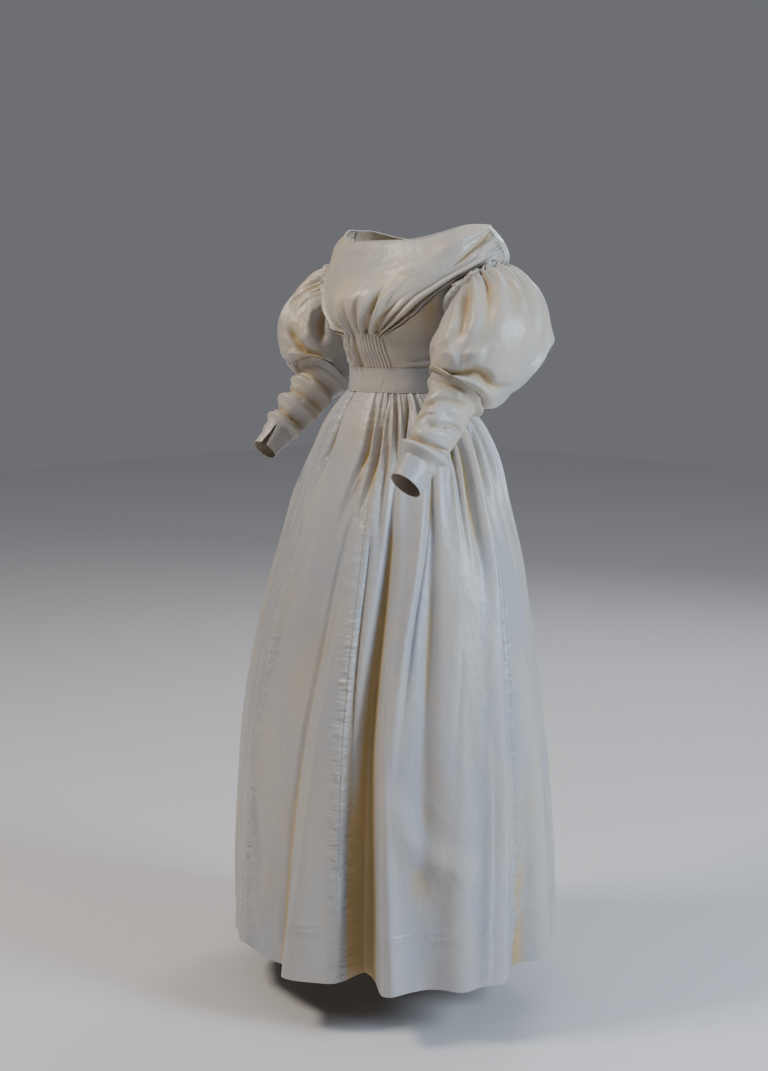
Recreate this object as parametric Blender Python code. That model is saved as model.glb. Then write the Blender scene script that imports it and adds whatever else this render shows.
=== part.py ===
# A cream silk wedding dress of about 1830, worn open and hollow: crossed, gathered bodice front,
# balloon sleeves over close forearms, waistband and a full skirt of five straight widths.
# Metres. The origin is at shoulder height over the middle of the waist. The dress's own left is +X,
# its front -Y and its top +Z. Azimuths are in degrees, 0 at the front and 90 on the dress's left.
import math
from collections import namedtuple

import bpy
import numpy as np

# Cloth and seams
CLOTH = 0.0014
DOUBLE_CLOTH = 0.0020
SEAM_INSET = 0.0003
FAN_CLEARANCE = 0.0002

# Heights along the dress
NECK_DIP_FRONT = 0.027
NECK_DIP_BACK = 0.022
SHOULDER_NECK_AZIMUTH = 88.0
WAIST_TOP = -0.2530
WAIST_BOTTOM = -0.2980
HEM = -1.3320
SKIRT_LENGTH = WAIST_BOTTOM - HEM

# Armhole, as a rounded oval in azimuth and height
ARMHOLE_AZIMUTH = 92.5
ARMHOLE_HALF_AZIMUTH = 21.5
ARMHOLE_HEIGHT = -0.112
ARMHOLE_HALF_HEIGHT = 0.046
ARMHOLE_SQUARENESS = 2.4
ARMHOLE_STEP = 20.0
FAN_MEETS_ARMHOLE = 150.0
SIDE_FRONT_TOP = 176.0
SIDE_FRONT_TIP = 0.15
SHOULDER_MEETS_ARMHOLE = 90.0

# Gathered front
GAUGING_HALF_AZIMUTH_WAIST = 29.5
GAUGING_HALF_AZIMUTH_TOP = 26.0
GAUGING_TOP_CENTRE = -0.187
GAUGING_TOP_SIDE = -0.199
GATHERS_EACH_HALF = 7
SIDE_SEAM_AZIMUTH = 94.0

# Skirt
SKIRT_WIDTH_RATIO = 1.25
SKIRT_GATHER_AZIMUTH = 9.0
SKIRT_FLAT_FROM = -24.0
SKIRT_FLAT_TO = 9.0
HEM_LIFT = 0.014
HEM_LIFT_AZIMUTH = 98.0
FRONT_SEAM_AZIMUTH = 21.0
SIDE_SKIRT_SEAM_AZIMUTH = 90.0

# Colours of the silk, light and shaded
IVORY = (0.72, 0.64, 0.53)
WARM_IVORY = (0.66, 0.56, 0.43)

BodiceLevel = namedtuple("BodiceLevel", "z half_width front back centre_y")
BODICE_LEVELS = [
    BodiceLevel(0.020, 0.138, 0.075, 0.050, 0.052),
    BodiceLevel(0.000, 0.162, 0.094, 0.068, 0.054),
    BodiceLevel(-0.034, 0.188, 0.128, 0.090, 0.060),
    BodiceLevel(-0.060, 0.198, 0.137, 0.094, 0.058),
    BodiceLevel(-0.100, 0.168, 0.141, 0.098, 0.028),
    BodiceLevel(-0.130, 0.145, 0.147, 0.098, 0.014),
    BodiceLevel(-0.158, 0.134, 0.143, 0.094, 0.012),
    BodiceLevel(-0.190, 0.116, 0.116, 0.090, 0.008),
    BodiceLevel(-0.220, 0.109, 0.102, 0.086, 0.004),
    BodiceLevel(-0.253, 0.104, 0.0820, 0.0830, 0.0),
    BodiceLevel(-0.298, 0.106, 0.0835, 0.0850, 0.0),
]

# Lower edge of the gathered front, from the gauging to the armhole
EdgePoint = namedtuple("EdgePoint", "azimuth z")
FAN_EDGE = [
    EdgePoint(GAUGING_HALF_AZIMUTH_TOP, GAUGING_TOP_SIDE),
    EdgePoint(35.0, -0.189),
    EdgePoint(46.0, -0.176),
    EdgePoint(55.5, -0.158),
    EdgePoint(63.5, -0.134),
    EdgePoint(68.0, -0.110),
]

SkirtLevel = namedtuple("SkirtLevel", "z reach centre_y")
SKIRT_LEVELS = [
    SkirtLevel(-0.298, 0.0950, 0.000),
    SkirtLevel(-0.310, 0.1070, 0.003),
    SkirtLevel(-0.350, 0.1370, 0.008),
    SkirtLevel(-0.400, 0.1620, 0.011),
    SkirtLevel(-0.500, 0.1980, 0.004),
    SkirtLevel(-0.600, 0.2270, 0.000),
    SkirtLevel(-0.700, 0.2470, -0.008),
    SkirtLevel(-0.800, 0.2640, -0.016),
    SkirtLevel(-0.900, 0.2780, -0.022),
    SkirtLevel(-1.000, 0.2890, -0.022),
    SkirtLevel(-1.100, 0.2960, -0.022),
    SkirtLevel(-1.200, 0.3010, -0.022),
    SkirtLevel(-1.332, 0.3050, -0.022),
]

# Folds that fall down the skirt. Each runs from one share of the length to another, with its azimuth
# and push outward in metres at its start, middle and end, and its half width in degrees at both ends.
# Lean moves its steeper side: below zero the steep side is the one of smaller azimuth.
Fold = namedtuple("Fold", "start end az0 az1 az2 wide0 wide2 out0 out1 out2 lean")
SKIRT_FOLDS = [
    Fold(0.15, 1.0, 19.0, 13.0, 5.5, 4.0, 8.5, 0.004, 0.016, 0.040, -0.5),
    Fold(0.22, 1.0, 32.5, 27.5, 25.0, 2.5, 6.5, -0.012, -0.038, -0.060, 0.0),
    Fold(0.30, 1.0, 37.0, 35.5, 37.5, 3.0, 5.5, 0.002, 0.014, 0.036, -0.3),
    Fold(0.18, 0.8, 53.0, 51.0, 49.5, 3.0, 4.0, -0.006, -0.013, -0.008, 0.0),
    Fold(0.74, 1.0, 47.5, 48.5, 49.5, 4.0, 6.0, -0.006, -0.018, -0.026, 0.0),
    Fold(0.16, 0.62, 50.0, 43.0, 41.0, 2.5, 3.0, 0.005, 0.006, 0.003, 0.4),
    Fold(0.40, 1.0, 62.0, 62.5, 61.5, 5.0, 6.0, 0.003, 0.006, 0.010, 0.0),
    Fold(0.03, 0.30, 79.0, 78.3, 78.5, 2.5, 3.0, -0.010, -0.016, -0.006, 0.0),
    Fold(0.04, 1.0, 86.5, 83.5, 78.0, 2.5, 5.0, 0.006, 0.008, 0.010, 0.4),
    Fold(0.50, 1.0, 90.0, 91.0, 93.0, 4.0, 9.0, -0.004, -0.014, -0.034, 0.0),
    Fold(0.45, 1.0, 102.0, 103.0, 105.0, 4.0, 7.0, 0.003, 0.008, 0.010, 0.3),
    Fold(0.03, 0.24, 14.5, 13.0, 5.0, 2.5, 3.0, -0.008, -0.010, -0.003, 0.0),
    Fold(0.03, 0.24, 24.0, 20.0, 16.5, 2.5, 3.0, -0.007, -0.008, -0.003, 0.0),
    Fold(0.01, 0.20, -22.0, -19.0, -25.0, 3.0, 3.0, -0.008, -0.008, -0.003, 0.0),
    Fold(0.35, 1.0, -30.0, -25.0, -27.0, 5.0, 8.0, 0.003, 0.008, 0.008, -0.4),
    Fold(0.30, 1.0, -44.0, -49.0, -56.0, 5.0, 7.0, 0.004, -0.002, -0.030, 0.0),
    Fold(0.15, 1.0, -60.0, -68.0, -74.0, 7.0, 7.5, 0.008, 0.022, 0.038, 0.0),
    Fold(0.10, 1.0, -88.0, -92.0, -94.0, 4.0, 8.0, -0.006, -0.014, -0.024, 0.0),
    Fold(0.20, 1.0, -108.0, -111.0, -113.0, 4.0, 8.0, 0.004, 0.012, 0.018, 0.3),
    Fold(0.08, 1.0, -126.0, -129.0, -131.0, 4.0, 8.0, -0.008, -0.018, -0.028, 0.0),
    Fold(0.22, 1.0, -146.0, -148.0, -149.0, 4.0, 8.0, 0.004, 0.010, 0.018, -0.3),
    Fold(0.06, 1.0, -164.0, -165.0, -166.0, 4.0, 8.0, -0.008, -0.018, -0.028, 0.0),
    Fold(0.12, 1.0, 120.0, 121.0, 121.0, 4.0, 7.0, -0.006, -0.014, -0.022, 0.0),
    Fold(0.20, 1.0, 138.0, 137.0, 136.0, 4.0, 7.0, 0.004, 0.010, 0.014, -0.3),
    Fold(0.06, 1.0, 152.0, 153.0, 153.0, 4.0, 8.0, -0.008, -0.018, -0.028, 0.0),
    Fold(0.22, 1.0, 171.0, 170.0, 170.0, 4.0, 7.0, 0.004, 0.010, 0.016, 0.3),
]

# Rings of the left balloon sleeve, from the armhole seam to the elbow seam: centre, half size from
# front to back and from inner to outer side, and how far the ring has turned down and forward.
SleeveRing = namedtuple("SleeveRing", "x y z half_fore half_out down forward")
BALLOON_RINGS = [
    SleeveRing(0.178, 0.034, -0.118, 0.060, 0.058, 37.0, 0.0),
    SleeveRing(0.192, 0.028, -0.130, 0.078, 0.070, 46.0, 2.0),
    SleeveRing(0.206, 0.018, -0.148, 0.093, 0.082, 57.0, 4.0),
    SleeveRing(0.218, 0.007, -0.171, 0.104, 0.090, 68.0, 6.0),
    SleeveRing(0.226, -0.004, -0.197, 0.111, 0.094, 79.0, 8.0),
    SleeveRing(0.227, -0.017, -0.223, 0.108, 0.091, 88.0, 10.0),
    SleeveRing(0.223, -0.031, -0.247, 0.098, 0.082, 96.0, 14.0),
    SleeveRing(0.217, -0.045, -0.268, 0.084, 0.070, 101.0, 18.0),
    SleeveRing(0.210, -0.057, -0.282, 0.071, 0.060, 103.0, 25.0),
    SleeveRing(0.206, -0.064, -0.287, 0.060, 0.053, 100.0, 34.0),
    SleeveRing(0.203, -0.067, -0.288, 0.0500, 0.0460, 92.0, 42.0),
]
BALLOON_ROWS = 11
BALLOON_COLUMNS = 36
BALLOON_GATHERS = 12

# Rings of the left forearm sleeve and its cuff, from the elbow seam to the wrist
FOREARM_RINGS = [
    SleeveRing(0.2030, -0.0670, -0.2880, 0.0478, 0.0438, 92.0, 42.0),
    SleeveRing(0.2060, -0.0860, -0.3110, 0.0455, 0.0410, 92.0, 44.0),
    SleeveRing(0.2100, -0.1150, -0.3430, 0.0435, 0.0385, 92.0, 45.0),
    SleeveRing(0.2150, -0.1480, -0.3760, 0.0390, 0.0345, 92.0, 45.0),
    SleeveRing(0.2190, -0.1820, -0.4100, 0.0335, 0.0300, 92.0, 45.0),
]
CUFF_RINGS = [
    SleeveRing(0.2192, -0.1824, -0.4104, 0.0345, 0.0310, 92.0, 45.0),
    SleeveRing(0.2230, -0.2130, -0.4410, 0.0310, 0.0285, 92.0, 45.0),
]
FOREARM_COLUMNS = 18
RUCK_DEPTH = 0.0022
RUCKS = 5

# Where the right arm's elbow and wrist lie, next to the left arm's mirrored
RIGHT_ELBOW_SHIFT = (0.012, 0.056, 0.016)
RIGHT_WRIST_SHIFT = (0.002, 0.073, 0.028)
RIGHT_BALLOON_SIZE = 0.89
RIGHT_FOREARM_SIZE = 0.90
RIGHT_CUFF_SIZE = 0.80
RIGHT_CUFF_SLIT = 26.0


def smooth(xs, ys, x):
    """A smooth curve through the points of a table, at x; xs rise."""
    xs = np.asarray(xs, float)
    ys = np.asarray(ys, float)
    slopes = np.gradient(ys, xs)
    x = np.clip(np.asarray(x, float), xs[0], xs[-1])
    i = np.clip(np.searchsorted(xs, x, side="right") - 1, 0, len(xs) - 2)
    span = xs[i + 1] - xs[i]
    f = (x - xs[i]) / span
    rise = (2 * f**3 - 3 * f**2 + 1) * ys[i] + (3 * f**2 - 2 * f**3) * ys[i + 1]
    lean = (f**3 - 2 * f**2 + f) * slopes[i] + (f**3 - f**2) * slopes[i + 1]
    return rise + span * lean


def column(table, name):
    return np.array([getattr(row, name) for row in table])


def ease(x, low, high):
    """Rise from 0 at low to 1 at high, smoothly."""
    f = np.clip((np.asarray(x, float) - low) / (high - low), 0.0, 1.0)
    return f * f * (3.0 - 2.0 * f)


def oval_point(azimuth, half_x, half_y, centre_y, z, out):
    """A point on an oval ring about the dress, moved out square to the oval."""
    angle = np.radians(azimuth)
    normal_x = np.sin(angle) / half_x
    normal_y = -np.cos(angle) / half_y
    size = np.hypot(normal_x, normal_y)
    x = half_x * np.sin(angle) + out * normal_x / size
    y = centre_y - half_y * np.cos(angle) + out * normal_y / size
    return np.stack([x, y, z + 0.0 * x], axis=-1)


def bodice_point(azimuth, z, out=0.0):
    table = BODICE_LEVELS[::-1]
    levels = column(table, "z")
    half_width = smooth(levels, column(table, "half_width"), z)
    front = smooth(levels, column(table, "front"), z)
    back = smooth(levels, column(table, "back"), z)
    centre_y = smooth(levels, column(table, "centre_y"), z)
    facing = np.cos(np.radians(azimuth))
    depth = np.where(facing > 0.0, front, back)
    return oval_point(azimuth, half_width, depth, centre_y, z, out)


def neck_height(azimuth):
    """Height of the neck edge: it dips at the front and the back and is level over the shoulders."""
    front = NECK_DIP_FRONT * (1.0 - ease(np.abs(azimuth), 18.0, 74.0))
    back = NECK_DIP_BACK * ease(np.abs(azimuth), 104.0, 165.0)
    return -(front + back)


def armhole(angle):
    """Azimuth and height on the left armhole's oval; angle 90 is its top and 180 its front."""
    power = 2.0 / ARMHOLE_SQUARENESS
    across = math.cos(math.radians(angle))
    up = math.sin(math.radians(angle))
    azimuth = ARMHOLE_AZIMUTH + ARMHOLE_HALF_AZIMUTH * math.copysign(abs(across) ** power, across)
    z = ARMHOLE_HEIGHT + ARMHOLE_HALF_HEIGHT * math.copysign(abs(up) ** power, up)
    return azimuth, z


def line(start, end, steps):
    """Evenly spaced points from start to end, in azimuth and height."""
    return [tuple(np.array(start) + (np.array(end) - start) * k / steps) for k in range(steps + 1)]


def armhole_run(start, end):
    steps = round(abs(end - start) / ARMHOLE_STEP)
    return [armhole(start + (end - start) * k / steps) for k in range(steps + 1)]


def mirrored(points):
    """The same rows of points on the dress's other side."""
    return points[:, ::-1, :] * np.array([-1.0, 1.0, 1.0])


def set_back(points, amount, sides="udlr"):
    """Move the rows and columns on a piece's rim toward its middle, to leave the seam's gap."""
    moved = points.copy()
    steps = [("d", np.s_[0], np.s_[1]), ("u", np.s_[-1], np.s_[-2])]
    steps += [("l", np.s_[:, 0], np.s_[:, 1]), ("r", np.s_[:, -1], np.s_[:, -2])]
    for side, edge, inner in steps:
        if side in sides:
            way = moved[inner] - moved[edge]
            moved[edge] += amount * way / np.linalg.norm(way, axis=-1, keepdims=True)
    return moved


def wall_normals(points, closed):
    """Unit normals of a grid of points, rows upward and columns round the piece."""
    if closed:
        along = np.roll(points, -1, axis=1) - np.roll(points, 1, axis=1)
    else:
        along = np.gradient(points, axis=1)
    up = np.gradient(points, axis=0)
    normals = np.cross(along, up)
    return normals / np.linalg.norm(normals, axis=-1, keepdims=True)


def silk(name, colour):
    material = bpy.data.materials.new(name)
    material.use_nodes = True
    shader = material.node_tree.nodes["Principled BSDF"]
    shader.inputs["Base Color"].default_value = (*colour, 1.0)
    shader.inputs["Roughness"].default_value = 0.45
    shader.inputs["Metallic"].default_value = 0.0
    return material


def cloth_piece(name, points, thickness, colour, closed=False, inner=None):
    """Make one closed wall of cloth. The points are its outer side, in rows upward and columns that
    run with the outside on their right; its inner side lies one thickness inside."""
    rows, columns = points.shape[:2]
    if inner is None:
        inner = points - wall_normals(points, closed) * thickness
    vertices = np.concatenate([points.reshape(-1, 3), inner.reshape(-1, 3)])
    inner_start = rows * columns
    faces = []

    def at(row, col):
        return row * columns + col % columns

    def both_sides(*corners):
        faces.append(list(corners))
        faces.append([corner + inner_start for corner in reversed(corners)])

    def rim(start, end):
        faces.append([end, start, start + inner_start])
        faces.append([end, start + inner_start, end + inner_start])

    spans = columns if closed else columns - 1
    for col in range(spans):
        for row in range(rows - 1):
            a, b = at(row, col), at(row, col + 1)
            c, d = at(row + 1, col + 1), at(row + 1, col)
            rising = np.linalg.norm(vertices[a] - vertices[c])
            falling = np.linalg.norm(vertices[b] - vertices[d])
            if rising < falling:
                both_sides(a, b, c)
                both_sides(a, c, d)
            else:
                both_sides(a, b, d)
                both_sides(b, c, d)
        rim(at(0, col), at(0, col + 1))
        rim(at(rows - 1, col + 1), at(rows - 1, col))
    if not closed:
        for row in range(rows - 1):
            rim(at(row + 1, 0), at(row, 0))
            rim(at(row, columns - 1), at(row + 1, columns - 1))

    mesh = bpy.data.meshes.new(name)
    mesh.from_pydata(vertices.tolist(), [], faces)
    mesh.materials.append(silk(f"{name}_silk", colour))
    piece = bpy.data.objects.new(name, mesh)
    bpy.context.scene.collection.objects.link(piece)


def fan_half_chart():
    """Azimuth and height of the left half of the gathered front, rows up and columns from the centre
    line to its lower edge, and each row's and column's share of the way."""
    neck_steps = 13
    shoulder_steps = 8
    columns = neck_steps + shoulder_steps
    edge = [tuple(point) for point in FAN_EDGE] + armhole_run(FAN_MEETS_ARMHOLE, SHOULDER_MEETS_ARMHOLE)
    rows_above = len(edge) - 1
    neck = []
    for k in range(neck_steps + 1):
        azimuth = SHOULDER_NECK_AZIMUTH * k / neck_steps
        neck.append((azimuth, float(neck_height(azimuth))))
    rim = neck + shoulder_line(shoulder_steps)[1:]
    base = line((0.0, GAUGING_TOP_CENTRE), edge[0], columns)
    waist = line((0.0, WAIST_TOP), (GAUGING_HALF_AZIMUTH_WAIST, WAIST_TOP), columns)

    halfway = [tuple((np.array(low) + np.array(high)) / 2) for low, high in zip(waist, base)]
    chart = [waist, halfway]
    centre = line(base[0], rim[0], rows_above)
    for k in range(rows_above + 1):
        v = k / rows_above
        row = []
        for j in range(columns + 1):
            u = j / columns
            sides = (1 - u) * np.array(centre[k]) + u * np.array(edge[k])
            ends = (1 - v) * np.array(base[j]) + v * np.array(rim[j])
            corners = (1 - v) * ((1 - u) * np.array(base[0]) + u * np.array(base[-1]))
            corners += v * ((1 - u) * np.array(rim[0]) + u * np.array(rim[-1]))
            row.append(tuple(sides + ends - corners))
        chart.append(row)
    return np.array(chart), rows_above


def shoulder_line(steps):
    top = (SHOULDER_NECK_AZIMUTH, float(neck_height(SHOULDER_NECK_AZIMUTH)))
    return line(top, armhole(SHOULDER_MEETS_ARMHOLE), steps)


def make_fan_front():
    chart, rows_above = fan_half_chart()
    rows, columns = chart.shape[:2]
    across = np.linspace(0.0, 1.0, columns)[None, :]
    above = np.clip((np.arange(rows) - (rows - 1 - rows_above)) / rows_above, 0.0, 1.0)[:, None]
    near_armhole = ease(above, 0.48, 0.66) * ease(across, 0.78, 1.0)
    near_shoulder = ease(above, 0.70, 1.0) * ease(across, 0.45, 0.70)
    settled = (1.0 - near_armhole) * (1.0 - near_shoulder)
    depth = 0.0010 + 0.0022 * ease(above, 0.0, 0.2) * (1.0 - 0.75 * ease(above, 0.55, 1.0))
    depth = depth * (1.0 - above * (1.0 - across) * 0.8) * settled
    folds = depth * np.cos(2.0 * math.pi * GATHERS_EACH_HALF * across)
    rolled_edge = 0.0030 * ease(across, 0.86, 1.0) * ease(above, 0.0, 0.15)
    rolled_edge = rolled_edge * (1.0 - ease(above, 0.35, 0.60))
    left = bodice_point(chart[..., 0], chart[..., 1], 0.0012 * settled + folds + rolled_edge)
    points = np.concatenate([mirrored(left), left[:, 1:]], axis=1)
    cloth_piece("fan_front", set_back(points, SEAM_INSET), CLOTH, IVORY)


def make_side_fronts():
    gauging_rows = 2
    columns = 7
    left_rim = line((GAUGING_HALF_AZIMUTH_WAIST, WAIST_TOP), tuple(FAN_EDGE[0]), gauging_rows)
    left_rim += [tuple(point) for point in FAN_EDGE[1:]]
    last, corner = np.array(FAN_EDGE[-1]), np.array(armhole(FAN_MEETS_ARMHOLE))
    left_rim.append(tuple(last + SIDE_FRONT_TIP * (corner - last)))
    hole_rows = len(left_rim) - 1 - gauging_rows
    right_rim = line((SIDE_SEAM_AZIMUTH, WAIST_TOP), armhole(270.0), gauging_rows)
    turn = SIDE_FRONT_TOP - 270.0
    right_rim += [armhole(270.0 + turn * (k + 1) / hole_rows) for k in range(hole_rows)]
    chart = np.array([line(start, end, columns) for start, end in zip(left_rim, right_rim)])
    left = set_back(bodice_point(chart[..., 0], chart[..., 1]), SEAM_INSET)
    left = set_back(left, FAN_CLEARANCE, "l")
    cloth_piece("side_front_l", left, CLOTH, WARM_IVORY)
    cloth_piece("side_front_r", mirrored(left), CLOTH, WARM_IVORY)


def make_backs():
    seam_steps = 3
    shoulder_steps = 8
    side = line((SIDE_SEAM_AZIMUTH, WAIST_TOP), armhole(-90.0), seam_steps)
    side += armhole_run(-90.0, SHOULDER_MEETS_ARMHOLE)[1:]
    side += shoulder_line(shoulder_steps)[::-1][1:]
    columns = 8
    neck_back = float(neck_height(180.0))
    low, high = side[0][1], side[-1][1]
    chart = []
    for azimuth, z in side:
        share = (z - low) / (high - low)
        middle_z = low + share * (neck_back - low)
        row = []
        for j in range(columns + 1):
            u = j / columns
            straight_azimuth = azimuth + u * (180.0 - azimuth)
            neck_z = float(neck_height(side[-1][0] + u * (180.0 - side[-1][0])))
            neck_bend = neck_z - (high + u * (neck_back - high))
            row.append((straight_azimuth, z + u * (middle_z - z) + neck_bend * share**3))
        chart.append(row)
    chart = np.array(chart)
    left = set_back(bodice_point(chart[..., 0], chart[..., 1]), SEAM_INSET)
    cloth_piece("back_l", left, CLOTH, IVORY)
    cloth_piece("back_r", mirrored(left), CLOTH, IVORY)


def make_waistband():
    columns = 44
    azimuth = np.linspace(-180.0, 180.0, columns + 1)[None, :]
    z = np.linspace(WAIST_BOTTOM, WAIST_TOP, 3)[:, None]
    belly = np.array([0.0, 1.0, 0.0])[:, None]
    pucker = 0.0006 * np.cos(np.radians(azimuth * 6.0)) * belly
    points = bodice_point(azimuth + 0.0 * z, z + 0.0 * azimuth, 0.0008 + pucker)
    cloth_piece("waistband", set_back(points, SEAM_INSET), DOUBLE_CLOTH, IVORY)


def fold_push(azimuth, share):
    """How far the falling folds and the waist gathers push the skirt out at a share of its length."""
    push = np.zeros(np.broadcast(azimuth, share).shape)
    for fold in SKIRT_FOLDS:
        f = np.clip((share - fold.start) / (fold.end - fold.start), 0.0, 1.0)
        centre = smooth([0.0, 0.5, 1.0], [fold.az0, fold.az1, fold.az2], f)
        wide = fold.wide0 + (fold.wide2 - fold.wide0) * f
        out = smooth([0.0, 0.5, 1.0], [fold.out0, fold.out1, fold.out2], f)
        out = out * ease(share, fold.start - 0.06, fold.start + 0.04)
        if fold.end < 1.0:
            out = out * (1.0 - ease(share, fold.end - 0.06, fold.end + 0.06))
        away = (azimuth - centre + 180.0) % 360.0 - 180.0
        wide = wide * np.where(away < 0.0, 1.0 + fold.lean, 1.0 - fold.lean)
        push = push + out * np.exp(-((away / wide) ** 2))
    from_flat = np.where(azimuth > SKIRT_FLAT_TO, azimuth - SKIRT_FLAT_TO, SKIRT_FLAT_FROM - azimuth)
    beyond = ease(from_flat, 0.0, SKIRT_GATHER_AZIMUTH)
    swell = 0.0026 + 0.0036 * ease(share, 0.0, 0.05)
    turn = 2.0 * math.pi * from_flat / SKIRT_GATHER_AZIMUTH
    gather = swell * (1.0 - ease(share, 0.06, 0.30)) * np.cos(turn)
    return push - beyond * gather


def skirt_point(azimuth, share):
    table = SKIRT_LEVELS[::-1]
    z = WAIST_BOTTOM - share * SKIRT_LENGTH
    reach = smooth(column(table, "z"), column(table, "reach"), z)
    centre_y = smooth(column(table, "z"), column(table, "centre_y"), z)
    half_x = reach * math.sqrt(2.0) * SKIRT_WIDTH_RATIO / math.hypot(1.0, SKIRT_WIDTH_RATIO)
    lift = HEM_LIFT * np.exp(-(((azimuth - HEM_LIFT_AZIMUTH) / 30.0) ** 2)) * share**2
    push = fold_push(azimuth, share)
    return oval_point(azimuth, half_x, half_x / SKIRT_WIDTH_RATIO, centre_y, z + lift, push)


def make_skirt():
    shares = np.array([1.0, 0.90, 0.78, 0.66, 0.54, 0.42, 0.31, 0.21, 0.13, 0.07, 0.03, 0.0])[:, None]
    Width = namedtuple("Width", "name start end columns")
    widths = [
        Width("skirt_front", -FRONT_SEAM_AZIMUTH, FRONT_SEAM_AZIMUTH, 17),
        Width("skirt_side_l", FRONT_SEAM_AZIMUTH, SIDE_SKIRT_SEAM_AZIMUTH, 28),
        Width("skirt_back_l", SIDE_SKIRT_SEAM_AZIMUTH, 180.0, 26),
        Width("skirt_back_r", -180.0, -SIDE_SKIRT_SEAM_AZIMUTH, 26),
        Width("skirt_side_r", -SIDE_SKIRT_SEAM_AZIMUTH, -FRONT_SEAM_AZIMUTH, 24),
    ]
    azimuths = [width.start + (width.end - width.start) * k / width.columns
                for width in widths for k in range(width.columns)]
    azimuth = np.array(azimuths)[None, :]
    ring = skirt_point(azimuth + 0.0 * shares, shares + 0.0 * azimuth)
    inner = ring - wall_normals(ring, True) * CLOTH
    first = 0
    for width in widths:
        chosen = np.arange(first, first + width.columns + 1) % len(azimuths)
        outside = set_back(ring[:, chosen], SEAM_INSET)
        inside = set_back(inner[:, chosen], SEAM_INSET)
        cloth_piece(width.name, outside, CLOTH, IVORY, inner=inside)
        first += width.columns


def ring_points(rings, along, angles):
    """Points of a sleeve's rings at shares along it; angle 0 is its back, 90 its outer side."""
    keys = np.linspace(0.0, 1.0, len(rings))
    value = {name: smooth(keys, column(rings, name), along) for name in SleeveRing._fields}
    down = np.radians(value["down"])
    forward = np.radians(value["forward"])
    nothing = 0.0 * down
    back_way = np.stack([nothing, np.cos(forward), -np.sin(forward)], axis=-1)
    drop_way = np.stack([nothing, -np.sin(forward), -np.cos(forward)], axis=-1)
    side_way = np.array([1.0, 0.0, 0.0])
    out_way = np.sin(down)[:, None] * side_way - np.cos(down)[:, None] * drop_way
    centre = np.stack([value["x"], value["y"], value["z"]], axis=-1)
    c = np.cos(np.radians(angles))[None, :, None]
    s = np.sin(np.radians(angles))[None, :, None]
    reach = c * value["half_fore"][:, None, None] * back_way[:, None, :]
    reach = reach + s * value["half_out"][:, None, None] * out_way[:, None, :]
    return centre[:, None, :], reach


def balloon_rows(size):
    angles = np.arange(BALLOON_COLUMNS) * 360.0 / BALLOON_COLUMNS
    along = np.linspace(0.0, 1.0, BALLOON_ROWS)
    centre, reach = ring_points(BALLOON_RINGS, along, angles)
    gather = np.cos(np.radians(angles * BALLOON_GATHERS))[None, :]
    near_ends = 0.055 * (1.0 - ease(along, 0.0, 0.35))
    near_ends = near_ends + 0.020 * ease(along, 0.70, 0.85) * (1.0 - ease(along, 0.88, 1.0))
    fullness = 1.0 + (size - 1.0) * np.sin(math.pi * along)[:, None]
    body = centre + reach * (fullness * (1.0 + near_ends[:, None] * gather))[..., None]
    seam = []
    middle = np.array([ARMHOLE_AZIMUTH, ARMHOLE_HEIGHT])
    for angle in angles:
        inside = middle + 0.966 * (np.array(armhole(angle)) - middle)
        seam.append(bodice_point(inside[0], inside[1]))
    return np.concatenate([np.array(seam)[None], body])


def make_balloons():
    along = np.concatenate([[0.0], np.linspace(0.0, 1.0, BALLOON_ROWS)])[:, None, None]
    cloth_piece("sleeve_balloon_l", balloon_rows(1.0)[::-1, ::-1], CLOTH, IVORY, closed=True)
    right = balloon_rows(RIGHT_BALLOON_SIZE) * np.array([-1.0, 1.0, 1.0])
    right = right + along * np.array(RIGHT_ELBOW_SHIFT)
    cloth_piece("sleeve_balloon_r", right[::-1], CLOTH, IVORY, closed=True)


def forearm_rows(size, along):
    angles = np.arange(FOREARM_COLUMNS) * 360.0 / FOREARM_COLUMNS
    centre, reach = ring_points(FOREARM_RINGS, along, angles)
    ruck = -RUCK_DEPTH * np.cos(2.0 * math.pi * RUCKS * along) * np.sin(math.pi * along)
    reach = reach * (1.0 + (size - 1.0) * ease(along, 0.0, 0.3))[:, None, None]
    length = np.linalg.norm(reach, axis=-1, keepdims=True)
    return centre + reach * (1.0 + ruck[:, None, None] / length)


def make_forearms():
    along = np.linspace(0.0, 1.0, 2 * RUCKS + 1)
    elbow = np.array(RIGHT_ELBOW_SHIFT)
    wrist = np.array(RIGHT_WRIST_SHIFT)
    cloth_piece("sleeve_forearm_l", forearm_rows(1.0, along)[::-1, ::-1], CLOTH, IVORY, closed=True)
    right = forearm_rows(RIGHT_FOREARM_SIZE, along) * np.array([-1.0, 1.0, 1.0])
    right = right + elbow + along[:, None, None] * (wrist - elbow)
    cloth_piece("sleeve_forearm_r", right[::-1], CLOTH, IVORY, closed=True)


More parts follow.
